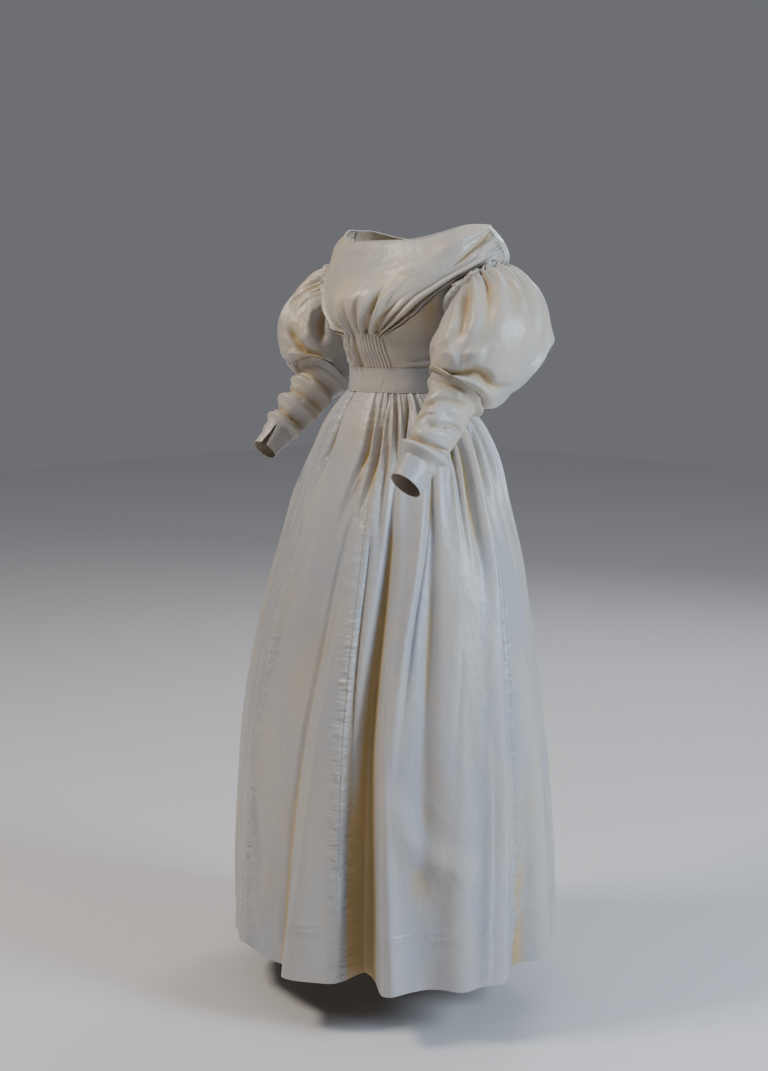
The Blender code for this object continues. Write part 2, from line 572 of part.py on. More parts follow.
def make_cuffs():
    along = np.array([0.0, 0.5, 1.0])
    slit_middle = 215.0
    closed_slit = 3.0
    for side, slit, size in (("l", closed_slit, 1.0), ("r", RIGHT_CUFF_SLIT, RIGHT_CUFF_SIZE)):
        grid = []
        for share in along:
            half = (closed_slit + share * (slit - closed_slit)) / 2.0
            angles = np.linspace(slit_middle + half, slit_middle + 360.0 - half, FOREARM_COLUMNS + 1)
            centre, reach = ring_points(CUFF_RINGS, np.array([share]), angles)
            reach = reach * (RIGHT_FOREARM_SIZE if side == "r" and share == 0.0 else size)
            grid.append((centre + reach)[0])
        rows = np.array(grid)
        if side == "r":
            rows = rows * np.array([-1.0, 1.0, 1.0]) + np.array(RIGHT_WRIST_SHIFT)
            cloth_piece("cuff_r", rows[::-1], DOUBLE_CLOTH, IVORY)
        else:
            cloth_piece("cuff_l", rows[::-1, ::-1], DOUBLE_CLOTH, IVORY)


def build():
    for thing in list(bpy.context.scene.objects):
        bpy.data.objects.remove(thing, do_unlink=True)
    make_fan_front()
    make_side_fronts()
    make_backs()
    make_waistband()
    make_balloons()
    make_forearms()
    make_cuffs()
    make_skirt()


build()
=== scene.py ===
import math

import bpy
import numpy as np
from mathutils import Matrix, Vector


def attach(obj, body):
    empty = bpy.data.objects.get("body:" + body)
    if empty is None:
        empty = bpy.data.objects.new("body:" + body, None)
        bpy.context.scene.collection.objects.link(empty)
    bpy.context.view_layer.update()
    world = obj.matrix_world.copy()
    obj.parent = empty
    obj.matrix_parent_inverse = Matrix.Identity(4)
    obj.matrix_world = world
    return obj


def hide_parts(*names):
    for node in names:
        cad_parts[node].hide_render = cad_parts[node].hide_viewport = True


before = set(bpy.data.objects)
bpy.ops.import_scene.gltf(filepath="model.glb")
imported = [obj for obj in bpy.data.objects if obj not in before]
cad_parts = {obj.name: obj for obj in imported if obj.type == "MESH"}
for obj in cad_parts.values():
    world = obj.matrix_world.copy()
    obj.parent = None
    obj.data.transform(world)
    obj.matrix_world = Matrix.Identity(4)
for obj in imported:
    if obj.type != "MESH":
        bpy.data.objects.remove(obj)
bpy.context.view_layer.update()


# Curves, easing and soft noise

def smoothCurve(xs, ys, x):
    xs = np.asarray(xs, float)
    ys = np.asarray(ys, float)
    slopes = np.gradient(ys, xs)
    x = np.clip(np.asarray(x, float), xs[0], xs[-1])
    i = np.clip(np.searchsorted(xs, x, side="right") - 1, 0, len(xs) - 2)
    span = xs[i + 1] - xs[i]
    f = (x - xs[i]) / span
    rise = (2 * f**3 - 3 * f**2 + 1) * ys[i] + (3 * f**2 - 2 * f**3) * ys[i + 1]
    lean = (f**3 - 2 * f**2 + f) * slopes[i] + (f**3 - f**2) * slopes[i + 1]
    return rise + span * lean


def ease(x, low, high):
    f = np.clip((np.asarray(x, float) - low) / (high - low), 0.0, 1.0)
    return f * f * (3.0 - 2.0 * f)


def softNoise(x, y, seed):
    # Smooth hills and hollows from -1 to 1, one unit apart
    size = 64
    lattice = np.random.default_rng(seed).uniform(-1.0, 1.0, (size, size))
    x0, y0 = np.floor(x).astype(int), np.floor(y).astype(int)
    fx, fy = ease(x - x0, 0.0, 1.0), ease(y - y0, 0.0, 1.0)

    def at(stepX, stepY):
        return lattice[(x0 + stepX) % size, (y0 + stepY) % size]

    low = at(0, 0) * (1 - fx) + at(1, 0) * fx
    high = at(0, 1) * (1 - fx) + at(1, 1) * fx
    return low * (1 - fy) + high * fy


def turnBetween(azimuth, other):
    return (azimuth - other + 180.0) % 360.0 - 180.0


def foldLine(across, down, marks, wide, push, lean=0.0, fade=0.02):
    # One fold along marks of (down, across). Below zero, lean makes the side of smaller across steep
    starts = [mark[0] for mark in marks]
    centre = smoothCurve(starts, [mark[1] for mark in marks], down)
    share = np.clip((down - starts[0]) / (starts[-1] - starts[0]), 0.0, 1.0)
    width = np.interp(share, np.linspace(0.0, 1.0, len(wide)), wide)
    height = np.interp(share, np.linspace(0.0, 1.0, len(push)), push)
    away = turnBetween(across, centre)
    width = width * np.where(away < 0.0, 1.0 + lean, 1.0 - lean)
    ends = ease(down, starts[0] - fade, starts[0] + fade)
    ends = ends * (1.0 - ease(down, starts[-1] - fade, starts[-1] + fade))
    return height * ends * np.exp(-((away / width) ** 2))


def wrinkle(across, up, marks, width, push, lean=0.0, ends=(0.25, 0.25)):
    # One wrinkle on a curve through the marks of a piece's own chart, in metres. Lean makes the side
    # on the curve's left steep above zero; ends are the shares over which it rises and dies away
    marks = np.asarray(marks, float)
    steps = np.arange(len(marks))
    fine = np.linspace(0.0, steps[-1], 8 * len(marks))
    curve = np.stack([smoothCurve(steps, marks[:, k], fine) for k in range(2)], axis=-1)
    lengths = np.linalg.norm(np.diff(curve, axis=0), axis=1)
    places = np.concatenate([[0.0], np.cumsum(lengths)])
    nearest = np.full(np.shape(across), 1.0e3)
    side = np.zeros(np.shape(across))
    share = np.zeros(np.shape(across))
    for k, length in enumerate(lengths):
        wayX, wayY = (curve[k + 1] - curve[k]) / length
        dx, dy = across - curve[k, 0], up - curve[k, 1]
        on = np.clip(dx * wayX + dy * wayY, 0.0, length)
        away = np.hypot(dx - on * wayX, dy - on * wayY)
        closer = away < nearest
        nearest = np.where(closer, away, nearest)
        side = np.where(closer, np.sign(dy * wayX - dx * wayY), side)
        share = np.where(closer, (places[k] + on) / places[-1], share)
    strength = ease(share, 0.0, ends[0]) if ends[0] > 0.0 else 1.0
    if ends[1] > 0.0:
        strength = strength * (1.0 - ease(share, 1.0 - ends[1], 1.0))
    return push * strength * np.exp(-((nearest / (width * (1.0 - lean * side))) ** 2))


def wrinkles(azimuth, z, rows, meanReach):
    # Rows of marks of azimuth and height, half width, push and perhaps ends; meanReach is the form's
    # own, to turn degrees into metres
    reach = math.radians(1.0) * meanReach
    out = 0.0 * azimuth
    for marks, width, push, *ends in rows:
        placed = [(at * reach, height) for at, height in marks]
        out = out + wrinkle(azimuth * reach, z, placed, width, push, 0.0, *ends)
    return out


pucker = {
    "slant": 0.45,  # how far a ripple leans along the seam as it leaves it
    "wander": 0.004,
    "groove": -0.0008,
    "grooveWidth": 0.0016,
}


def puckers(distance, along, seed, reach=0.011, pitch=0.013, height=0.0009):
    # Small slanting ripples on both sides of a seam that has drawn up
    slanted = along + pucker["slant"] * np.abs(distance)
    slanted = slanted + pucker["wander"] * softNoise(along / 0.03, 0.0, seed)
    strength = 0.55 + 0.45 * softNoise(along / 0.045, distance / 0.05, seed + 1)
    ripple = np.cos(2.0 * math.pi * slanted / pitch)
    groove = pucker["groove"] * np.exp(-((distance / pucker["grooveWidth"]) ** 2))
    return groove + height * strength * ripple * np.exp(-((distance / reach) ** 2))


# Cloth pieces

def inScene(name, data):
    made = bpy.data.objects.new(name, data)
    bpy.context.scene.collection.objects.link(made)
    return made


def gridNormals(points, closed):
    if closed:
        along = np.roll(points, -1, axis=1) - np.roll(points, 1, axis=1)
    else:
        along = np.gradient(points, axis=1)
    up = np.gradient(points, axis=0)
    normals = np.cross(along, up)
    return normals / np.linalg.norm(normals, axis=-1, keepdims=True)


def blurred(points, reach, closed):
    # Mean of the points within reach rows and columns, two passes
    soft = points
    for axis in (0, 1):
        mode = "wrap" if closed and axis == 1 else "edge"
        for _ in range(2):
            edge = [(0, 0)] * soft.ndim
            edge[axis] = (reach, reach)
            wide = np.pad(soft, edge, mode=mode)
            total = np.zeros_like(soft)
            for step in range(2 * reach + 1):
                total += np.take(wide, np.arange(step, step + soft.shape[axis]), axis=axis)
            soft = total / (2 * reach + 1)
    return soft


hollows = {
    "creaseReach": 0.006,
    "foldReach": 0.024,
    "creaseDepth": 0.0016,  # what counts as deep
    "foldDepth": 0.0100,
    "creaseShare": 0.28,
}


def hollowness(points, normals, closed):
    # Above zero in valleys, below on ridges; a small reach for creases and a large one for folds. It is the
    # mask of the painted shade in valleys and the painted highlight on ridges
    rows, columns = points.shape[:2]
    step = np.linalg.norm(points[rows // 2, columns // 2] - points[rows // 2, columns // 2 - 1])
    small = max(2, round(hollows["creaseReach"] / step))
    large = min(max(6, round(hollows["foldReach"] / step)), rows // 4, columns // 4)
    fine = ((blurred(points, small, closed) - points) * normals).sum(-1) / hollows["creaseDepth"]
    wide = ((blurred(points, large, closed) - points) * normals).sum(-1) / hollows["foldDepth"]
    depth = np.tanh(hollows["creaseShare"] * fine + wide)
    return blurred(depth[..., None], 1, closed)[..., 0]


def clothPiece(name, outer, wall, finish, cut, closed=False, sunk=0.0, drawn=0.0):
    # A thin closed shell. Rows go up, columns go round with the outside on their right, and cut
    # holds each point's place on the flat cloth in metres, with one more column on a closed ring.
    # Sunk adds to the hollowness, the mask of painted shade in valleys and painted highlight on ridges, where
    # a fold is known to lie deep, and drawn is 1 at a puckered seam
    rows, columns = outer.shape[:2]
    normals = gridNormals(outer, closed)
    inner = outer - normals * wall
    points = np.concatenate([outer.reshape(-1, 3), inner.reshape(-1, 3)])
    spans = columns if closed else columns - 1

    def corner(row, col):
        row, col = np.broadcast_arrays(row, col)
        return np.stack([row * columns + col % columns, row, col], axis=-1)

    def quads(a, b, c, d, depths):
        shifted = []
        for place, depth in zip((a, b, c, d), depths):
            moved = place.copy()
            moved[..., 0] += depth * rows * columns
            shifted.append(moved)
        return np.stack(shifted, axis=-2).reshape(-1, 4, 3)

    row, col = np.meshgrid(np.arange(rows - 1), np.arange(spans), indexing="ij")
    a, b, c, d = corner(row, col), corner(row, col + 1), corner(row + 1, col + 1), corner(row + 1, col)
    faces = [quads(a, b, c, d, (0, 0, 0, 0)), quads(d, c, b, a, (1, 1, 1, 1))]
    span = np.arange(spans)
    low, lowNext = corner(0, span), corner(0, span + 1)
    top, topNext = corner(rows - 1, span), corner(rows - 1, span + 1)
    faces.append(quads(lowNext, low, low, lowNext, (0, 0, 1, 1)))
    faces.append(quads(top, topNext, topNext, top, (0, 0, 1, 1)))
    if not closed:
        rise = np.arange(rows - 1)
        left, leftNext = corner(rise, 0), corner(rise + 1, 0)
        right, rightNext = corner(rise, columns - 1), corner(rise + 1, columns - 1)
        faces.append(quads(left, leftNext, leftNext, left, (0, 0, 1, 1)))
        faces.append(quads(rightNext, right, right, rightNext, (0, 0, 1, 1)))
    faces = np.concatenate(faces)

    mesh = bpy.data.meshes.new(name)
    mesh.from_pydata(points.tolist(), [], faces[..., 0].tolist())
    places = mesh.uv_layers.new(name="cut")
    flat = np.stack([cut[0][faces[..., 1], faces[..., 2]], cut[1][faces[..., 1], faces[..., 2]]], axis=-1)
    places.data.foreach_set("uv", flat.astype(np.float32).ravel())
    # The hollow attribute carries the painted shade and painted highlight; the inside faces get a fixed 0.6
    # of it, painted shade inside the cloth
    hollow = mesh.attributes.new("hollow", "FLOAT", "POINT")
    depth = np.clip(hollowness(outer, normals, closed) + sunk, -1.0, 1.0).ravel()
    hollow.data.foreach_set("value", np.concatenate([depth, np.full(len(depth), 0.6)]).astype(np.float32))
    pull = np.tile(np.broadcast_to(drawn, (rows, columns)).ravel(), 2)
    mesh.attributes.new("drawn", "FLOAT", "POINT").data.foreach_set("value", pull.astype(np.float32))
    mesh.materials.append(finish)
    mesh.shade_smooth()
    mesh.set_sharp_from_angle(angle=math.radians(50))
    return inScene(name, mesh)


def tube(name, path, radius, finish, closed=False, sides=8):
    # A covered cord sewn along a seam: rings of points square to the path
    path = np.asarray(path, float)
    if closed:
        ahead = np.roll(path, -1, axis=0) - np.roll(path, 1, axis=0)
    else:
        ahead = np.gradient(path, axis=0)
    ahead = ahead / np.linalg.norm(ahead, axis=-1, keepdims=True)
    steady = np.where(np.abs(ahead[:, 2:3]) > 0.9, (0.0, 1.0, 0.0), (0.0, 0.0, 1.0))
    first = np.cross(ahead, steady)
    first = first / np.linalg.norm(first, axis=-1, keepdims=True)
    second = np.cross(ahead, first)
    angles = np.linspace(0.0, 2.0 * math.pi, sides, endpoint=False)
    rings = path[:, None] + radius * (
        np.cos(angles)[None, :, None] * first[:, None] + np.sin(angles)[None, :, None] * second[:, None]
    )
    count = len(path)
    faces = []
    for ring in range(count if closed else count - 1):
        for side in range(sides):
            here, there = ring * sides, (ring + 1) % count * sides
            after = (side + 1) % sides
            faces.append([here + side, here + after, there + after, there + side])
    if not closed:
        faces.append(list(range(sides))[::-1])
        faces.append(list(range((count - 1) * sides, count * sides)))
    mesh = bpy.data.meshes.new(name)
    mesh.from_pydata(rings.reshape(-1, 3).tolist(), [], faces)
    mesh.materials.append(finish)
    mesh.shade_smooth()
    return inScene(name, mesh)


# Shader maths: one socket of a material, with plain expressions on its value

class Field:
    def __init__(self, sheet, socket):
        self.sheet = sheet
        self.socket = socket

    def maths(self, operation, first, second=None):
        values = {0: first} if second is None else {0: first, 1: second}
        return self.sheet.node("ShaderNodeMath", {"operation": operation}, values)

    def __add__(self, other):
        return self.maths("ADD", self, other)

    def __radd__(self, other):
        return self.maths("ADD", other, self)

    def __sub__(self, other):
        return self.maths("SUBTRACT", self, other)

    def __rsub__(self, other):
        return self.maths("SUBTRACT", other, self)

    def __mul__(self, other):
        return self.maths("MULTIPLY", self, other)

    def __rmul__(self, other):
        return self.maths("MULTIPLY", other, self)

    def between(self, low, high):
        # 0 at low, 1 at high, eased
        values = {"Value": self, "From Min": low, "From Max": high}
        return self.sheet.node("ShaderNodeMapRange", {"interpolation_type": "SMOOTHSTEP"}, values)


class Finish:
    def __init__(self, name):
        self.material = bpy.data.materials.new(name)
        self.material.use_nodes = True
        self.tree = self.material.node_tree
        self.shader = self.tree.nodes["Principled BSDF"]

    def put(self, socket, value):
        if isinstance(value, Field):
            self.tree.links.new(value.socket, socket)
        else:
            socket.default_value = value

    def node(self, kind, settings=None, values=None, out=0):
        made = self.tree.nodes.new(kind)
        for key, value in (settings or {}).items():
            setattr(made, key, value)
        for key, value in (values or {}).items():
            self.put(made.inputs[key], value)
        return Field(self, made.outputs[out])

    def mix(self, share, first, second, blend="MIX"):
        settings = {"data_type": "RGBA", "blend_type": blend}
        return self.node("ShaderNodeMix", settings, {0: share, 6: first, 7: second}, out=2)

    def noise(self, place, stretch, detail=2.0, roughness=0.5):
        scaled = self.node("ShaderNodeVectorMath", {"operation": "MULTIPLY"}, {0: place, 1: stretch})
        values = {"Vector": scaled, "Scale": 1.0, "Detail": detail, "Roughness": roughness}
        return self.node("ShaderNodeTexNoise", None, values)

    def bump(self, height, distance, strength, below=None):
        values = {"Strength": strength, "Distance": distance, "Height": height}
        if below is not None:
            values["Normal"] = below
        return self.node("ShaderNodeBump", None, values)


silkLook = {
    "light": (0.560, 0.487, 0.380, 1.0),  # cream of the lit cloth
    "cool": (0.385, 0.405, 0.455, 1.0),  # greyer patches where the silk has dulled
    "aged": (0.455, 0.345, 0.190, 1.0),  # yellowed patches
    "paintedFoldShade": (0.500, 0.352, 0.142, 1.0),  # painted shade, gold brown, down in the folds
    "paintedRidgeHighlight": (0.570, 0.545, 0.510, 1.0),  # painted highlight on the ridges of the folds
    "stain": (0.10, 0.045, 0.02, 1.0),
    "threadTints": ((0.90, 0.89, 0.88, 1.0), (1.08, 1.07, 1.05, 1.0)),
    "roughness": 0.37,
    "sheen": 0.22,
    "sheenRoughness": 0.30,
    "sheenTint": (1.0, 0.96, 0.90, 1.0),
    # How fine each pattern is, as cells to the metre
    "crossThreads": (70.0, 900.0, 1.0),
    "warpThreads": (1100.0, 90.0, 1.0),
    "clouds": (7.0, 7.0, 2.4),
    "patches": (19.0, 19.0, 4.5),
    "crumples": (75.0, 75.0, 42.0),
    "ripples": (30.0, 30.0, 84.0),
    "weaveHeight": 0.00020,
    "crumpleHeight": 0.0024,
    "rippleHeight": 0.0090,
}


def silk(name, warmth=0.0, grey=0.0, paintedShadeStrength=0.60, stain=None):
    # Warmth adds yellowed patches, grey dulls the cloth and paintedShadeStrength is how much painted shade,
    # gold brown, the folds' depths take
    finish = Finish(name)
    shader = finish.shader
    cut = finish.node("ShaderNodeUVMap", {"uv_map": "cut"})
    place = finish.node("ShaderNodeTexCoord", out=3)
    hollow = finish.node("ShaderNodeAttribute", {"attribute_name": "hollow"}, out=2)
    drawn = finish.node("ShaderNodeAttribute", {"attribute_name": "drawn"}, out=2)

    slub = finish.noise(cut, silkLook["crossThreads"], 3.0, 0.6)  # uneven threads
    warp = finish.noise(cut, silkLook["warpThreads"])
    cloud = finish.noise(place, silkLook["clouds"], 3.0, 0.55)
    patch = finish.noise(place, silkLook["patches"], 3.0, 0.6)

    tone = finish.mix(cloud.between(0.36, 0.62) * 0.62 + grey, silkLook["light"], silkLook["cool"])
    aged = finish.mix(patch.between(0.48, 0.74) * (0.38 + warmth), tone, silkLook["aged"])
    thread = finish.mix((slub - 0.5) * 0.30 + 0.5, *silkLook["threadTints"])
    woven = finish.mix(1.0, aged, thread, "MULTIPLY")
    # Painted shade: the hollow attribute mixes gold brown into the valleys; painted highlight: a paler colour
    # on ridges, where hollow is below zero
    sunk = finish.mix(hollow.between(0.05, 1.0) * paintedShadeStrength, woven, silkLook["paintedFoldShade"])
    colour = finish.mix((0.0 - hollow).between(0.15, 1.0) * 0.34, sunk, silkLook["paintedRidgeHighlight"])
    if stain is not None:
        ends = {0: place, 1: stain["at"]}
        away = finish.node("ShaderNodeVectorMath", {"operation": "DISTANCE"}, ends, out=1)
        ragged = away + (patch - 0.5) * stain["radius"]
        mark = 1.0 - ragged.between(stain["radius"] * 0.4, stain["radius"])
        colour = finish.mix(mark * stain["strength"], colour, silkLook["stain"])

    crumple = finish.noise(place, silkLook["crumples"], 5.0, 0.60)
    ripple = finish.noise(place, silkLook["ripples"])
    normal = finish.bump(slub * 0.7 + warp * 0.3, silkLook["weaveHeight"], 0.55)
    normal = finish.bump(crumple, silkLook["crumpleHeight"], 0.70, normal)
    normal = finish.bump(ripple * drawn, silkLook["rippleHeight"], 1.0, normal)

    roughness = silkLook["roughness"] + (slub - 0.5) * 0.16 + (cloud - 0.5) * 0.10
    finish.put(shader.inputs["Base Color"], colour)
    finish.put(shader.inputs["Roughness"], roughness)
    finish.put(shader.inputs["Normal"], normal)
    finish.put(shader.inputs["Sheen Weight"], silkLook["sheen"])
    finish.put(shader.inputs["Sheen Roughness"], silkLook["sheenRoughness"])
    finish.put(shader.inputs["Sheen Tint"], silkLook["sheenTint"])
    return finish.material


def threadFinish(name, colour):
    finish = Finish(name)
    place = finish.node("ShaderNodeTexCoord", out=3)
    twist = finish.noise(place, (900.0, 900.0, 900.0), 1.0)
    shaded = tuple(0.7 * part for part in colour[:3]) + (1.0,)
    finish.put(finish.shader.inputs["Base Color"], finish.mix(twist, colour, shaded))
    finish.put(finish.shader.inputs["Roughness"], 0.5 + twist * 0.2)
    return finish.material


# The bodice's form: half width, depth in front and behind and the middle's y, at each height

bodice = {
    "levels": (
        (-0.298, 0.106, 0.0835, 0.085, 0),
        (-0.253, 0.104, 0.082, 0.083, 0),
        (-0.22, 0.109, 0.102, 0.086, 0.004),
        (-0.19, 0.116, 0.116, 0.09, 0.008),
        (-0.158, 0.134, 0.143, 0.094, 0.012),
        (-0.13, 0.145, 0.147, 0.098, 0.014),
        (-0.1, 0.168, 0.141, 0.098, 0.028),
        (-0.06, 0.198, 0.137, 0.094, 0.058),
        (-0.034, 0.188, 0.128, 0.09, 0.06),
        (0, 0.162, 0.094, 0.068, 0.054),
        (0.02, 0.138, 0.075, 0.05, 0.052),
    ),
    "neckDipFront": 0.027,
    "neckDipBack": 0.022,
    "shoulderAzimuth": 88,
    "sideSeamAzimuth": 94,
    "waistTop": -0.253,
    "waistBottom": -0.298,
    "armholeAzimuth": (92.5, 21.5),  # middle and half width
    "armholeHeight": (-0.112, 0.046),
    "armholeSquareness": 2.4,
    "wall": 0.001,
    "seamGap": 0.0003,
    "metresPerDegree": 0.0018,
}


def ovalPoint(azimuth, halfX, halfY, centreY, z, out):
    angle = np.radians(azimuth)
    normalX = np.sin(angle) / halfX
    normalY = -np.cos(angle) / halfY
    size = np.hypot(normalX, normalY)
    x = halfX * np.sin(angle) + out * normalX / size
    y = centreY - halfY * np.cos(angle) + out * normalY / size
    return np.stack([x, y, z + 0.0 * x], axis=-1)


def bodicePoint(azimuth, z, out=0.0):
    levels, halfWidth, front, back, centreY = zip(*bodice["levels"])
    facing = np.cos(np.radians(azimuth))
    depth = np.where(facing > 0.0, smoothCurve(levels, front, z), smoothCurve(levels, back, z))
    halfX = smoothCurve(levels, halfWidth, z)
    return ovalPoint(azimuth, halfX, depth, smoothCurve(levels, centreY, z), z, out)


def neckHeight(azimuth):
    front = bodice["neckDipFront"] * (1.0 - ease(np.abs(azimuth), 18.0, 74.0))
    back = bodice["neckDipBack"] * ease(np.abs(azimuth), 104.0, 165.0)
    return -(front + back)


def armhole(angle):
    # Azimuth and height on the left armhole; angle 90 is its top and 180 its front
    power = 2.0 / bodice["armholeSquareness"]
    across = np.cos(np.radians(angle))
    up = np.sin(np.radians(angle))
    middle, half = bodice["armholeAzimuth"]
    middleZ, halfZ = bodice["armholeHeight"]
    azimuth = middle + half * np.sign(across) * np.abs(across) ** power
    return np.stack([azimuth, middleZ + halfZ * np.sign(up) * np.abs(up) ** power], axis=-1)


def mirrored(points):
    return points[:, ::-1, :] * np.array([-1.0, 1.0, 1.0])


def setBack(points, amount, sides="udlr"):
    moved = points.copy()
    edges = [("d", np.s_[0], np.s_[1]), ("u", np.s_[-1], np.s_[-2])]
    edges += [("l", np.s_[:, 0], np.s_[:, 1]), ("r", np.s_[:, -1], np.s_[:, -2])]
    for side, edge, inside in edges:
        if side in sides:
            way = moved[inside] - moved[edge]
            moved[edge] += amount * way / np.linalg.norm(way, axis=-1, keepdims=True)
    return moved


def along(points, count):
    # count evenly spaced points on the line through the given ones
    points = np.asarray(points, float)
    steps = np.linalg.norm(np.diff(points, axis=0) * np.array([0.0025, 1.0]), axis=1)
    places = np.concatenate([[0.0], np.cumsum(steps)])
    wanted = np.linspace(0.0, places[-1], count)
    return np.stack([np.interp(wanted, places, points[:, k]) for k in range(2)], axis=-1)


def knots(start, end, count):
    share = np.linspace(0.0, 1.0, count)[:, None]
    return np.asarray(start, float) * (1.0 - share) + np.asarray(end, float) * share


# Gathered front

fan = {
    "columns": 96,  # on each half
    "rows": 92,
    "gaugingRows": 26,
    "gaugingTop": (-0.187, -0.199),  # at the centre line and at its side
    "gaugingHalf": (29.5, 26),  # half azimuth at the waist and at its top
    "edge": ((26, -0.199), (35, -0.189), (46, -0.176), (55.5, -0.158), (63.5, -0.134), (68, -0.11)),
    "neckShare": 0.62,
    "gathersEachHalf": 7.5,
    "stitchPitch": 0.0074,
    "gatherHeight": 0.0044,
    "fringeHeight": 0.0034,
    "meanReach": 0.129,
    # Rolls that run with the lower edge to the shoulder: share across and half width in shares at the
    # gauging and further up, and how far they stand out
    "rolls": (
        (0.99, 0.986, 0.02, 0.016, 0.005),
        (0.955, 0.958, 0.01, 0.011, -0.0044),
        (0.92, 0.922, 0.018, 0.026, 0.0062),
        (0.88, 0.866, 0.014, 0.022, -0.0095),
        (0.83, 0.78, 0.026, 0.062, 0.01),
        (0.77, 0.675, 0.018, 0.036, -0.0052),
    ),
    # Folds on each half: marks of azimuth and height, half width and push outward, ends
    "leftFolds": (
        (((8, -0.192), (20, -0.157), (24.5, -0.125), (23, -0.092)), 0.0046, -0.0085, (0.06, 0.5)),
        (((20, -0.192), (29.5, -0.164), (37, -0.143), (44, -0.118)), 0.0038, -0.0062, (0.06, 0.55)),
        (((3.5, -0.192), (14.5, -0.152), (18.5, -0.125), (18, -0.09)), 0.0042, 0.006, (0.06, 0.55)),
        (((14, -0.192), (26, -0.152), (30.5, -0.122), (35.5, -0.084)), 0.005, 0.0075, (0.06, 0.55)),
        (((24, -0.192), (34, -0.162), (44, -0.138), (54, -0.104)), 0.0046, 0.006, (0.06, 0.55)),
        (((1, -0.192), (6, -0.16), (9, -0.135), (9.5, -0.105)), 0.004, -0.006, (0.06, 0.55)),
        (((88, -0.014), (75, -0.029), (63, -0.047), (56, -0.068), (54, -0.1)),
         0.0048, -0.0105, (0.02, 0.45)),
        (((90, -0.004), (75, -0.012), (60, -0.025), (46, -0.046), (38, -0.074)),
         0.009, 0.008, (0.02, 0.5)),
        (((89, -0.009), (76, -0.019), (64, -0.034), (52, -0.056)), 0.0036, -0.005, (0.02, 0.55)),
        (((88, -0.036), (78, -0.046), (69, -0.062), (63, -0.084)), 0.004, -0.005, (0.02, 0.55)),
        (((88, -0.025), (76, -0.038), (66, -0.055), (60, -0.078)), 0.005, 0.005, (0.02, 0.55)),
        (((12, -0.055), (28, -0.07), (46, -0.062)), 0.016, 0.004, (0.45, 0.45)),
        (((4, -0.082), (26, -0.094), (44, -0.088)), 0.012, -0.0026, (0.45, 0.45)),
    ),
    "rightFolds": (
        (((15, -0.258), (20, -0.222), (24, -0.19), (27, -0.15), (30, -0.11)),
         0.0048, -0.01, (0.02, 0.45)),
        (((8, -0.258), (8, -0.215), (7, -0.182), (4, -0.15), (8, -0.108)),
         0.0042, -0.009, (0.02, 0.45)),
        (((11.5, -0.258), (13.5, -0.222), (14.5, -0.19), (11, -0.16), (15, -0.118)),
         0.0042, 0.0072, (0.02, 0.5)),
        (((20, -0.258), (26, -0.21), (33, -0.17), (42, -0.13)), 0.0048, 0.0066, (0.02, 0.5)),
        (((25, -0.258), (29, -0.215), (40, -0.172), (51, -0.14)), 0.004, -0.007, (0.02, 0.5)),
        (((88, -0.014), (74, -0.03), (61, -0.05), (55, -0.072), (57, -0.1)),
         0.0056, -0.007, (0.02, 0.4)),
        (((90, -0.004), (74, -0.014), (58, -0.03), (44, -0.054)), 0.011, 0.0055, (0.02, 0.5)),
    ),
    "shoulderGathers": 11,
    "shoulderReach": 0.26,
    "shoulderHeight": 0.0044,
    "rollSway": 0.008,
    "crumple": 0.0012,
    "fineCrumple": 0.0004,
    "above": 0.001,  # how far the whole piece stands off the bodice's form
    "paintedLightScale": -80.0,  # from a fold's push in metres to its share of the painted fold shade, and on ridges of the painted highlight
    "size": (0.64, 0.34),  # across and up, for its weave
}


def fanChart():
    columns, rowsAbove = fan["columns"], fan["rows"]
    neckColumns = round(columns * fan["neckShare"])
    hole = armhole(np.linspace(150.0, 90.0, 24))
    edge = np.concatenate([along(np.concatenate([fan["edge"], hole[:1]]), round(rowsAbove * 0.64) + 1)[:-1],
                           along(hole, rowsAbove - round(rowsAbove * 0.64) + 1)])
    neckAzimuth = np.linspace(0.0, bodice["shoulderAzimuth"], neckColumns + 1)
    neck = np.stack([neckAzimuth, neckHeight(neckAzimuth)], axis=-1)
    rim = np.concatenate([neck, knots(neck[-1], hole[-1], columns - neckColumns + 1)[1:]])
    base = knots((0.0, fan["gaugingTop"][0]), edge[0], columns + 1)
    waist = knots((0.0, bodice["waistTop"]), (fan["gaugingHalf"][0], bodice["waistTop"]), columns + 1)
    low = np.linspace(0.0, 1.0, fan["gaugingRows"] + 1)[:-1, None, None]
    gauging = (1.0 - low) * waist[None] + low * base[None]
    u = np.linspace(0.0, 1.0, columns + 1)[None, :, None]
    v = np.linspace(0.0, 1.0, rowsAbove + 1)[:, None, None]
    centre = knots(base[0], rim[0], rowsAbove + 1)
    sides = (1.0 - u) * centre[:, None] + u * edge[:, None]
    ends = (1.0 - v) * base[None] + v * rim[None]
    corners = (1.0 - v) * ((1.0 - u) * base[0] + u * base[-1]) + v * ((1.0 - u) * rim[0] + u * rim[-1])
    return np.concatenate([gauging, sides + ends - corners])


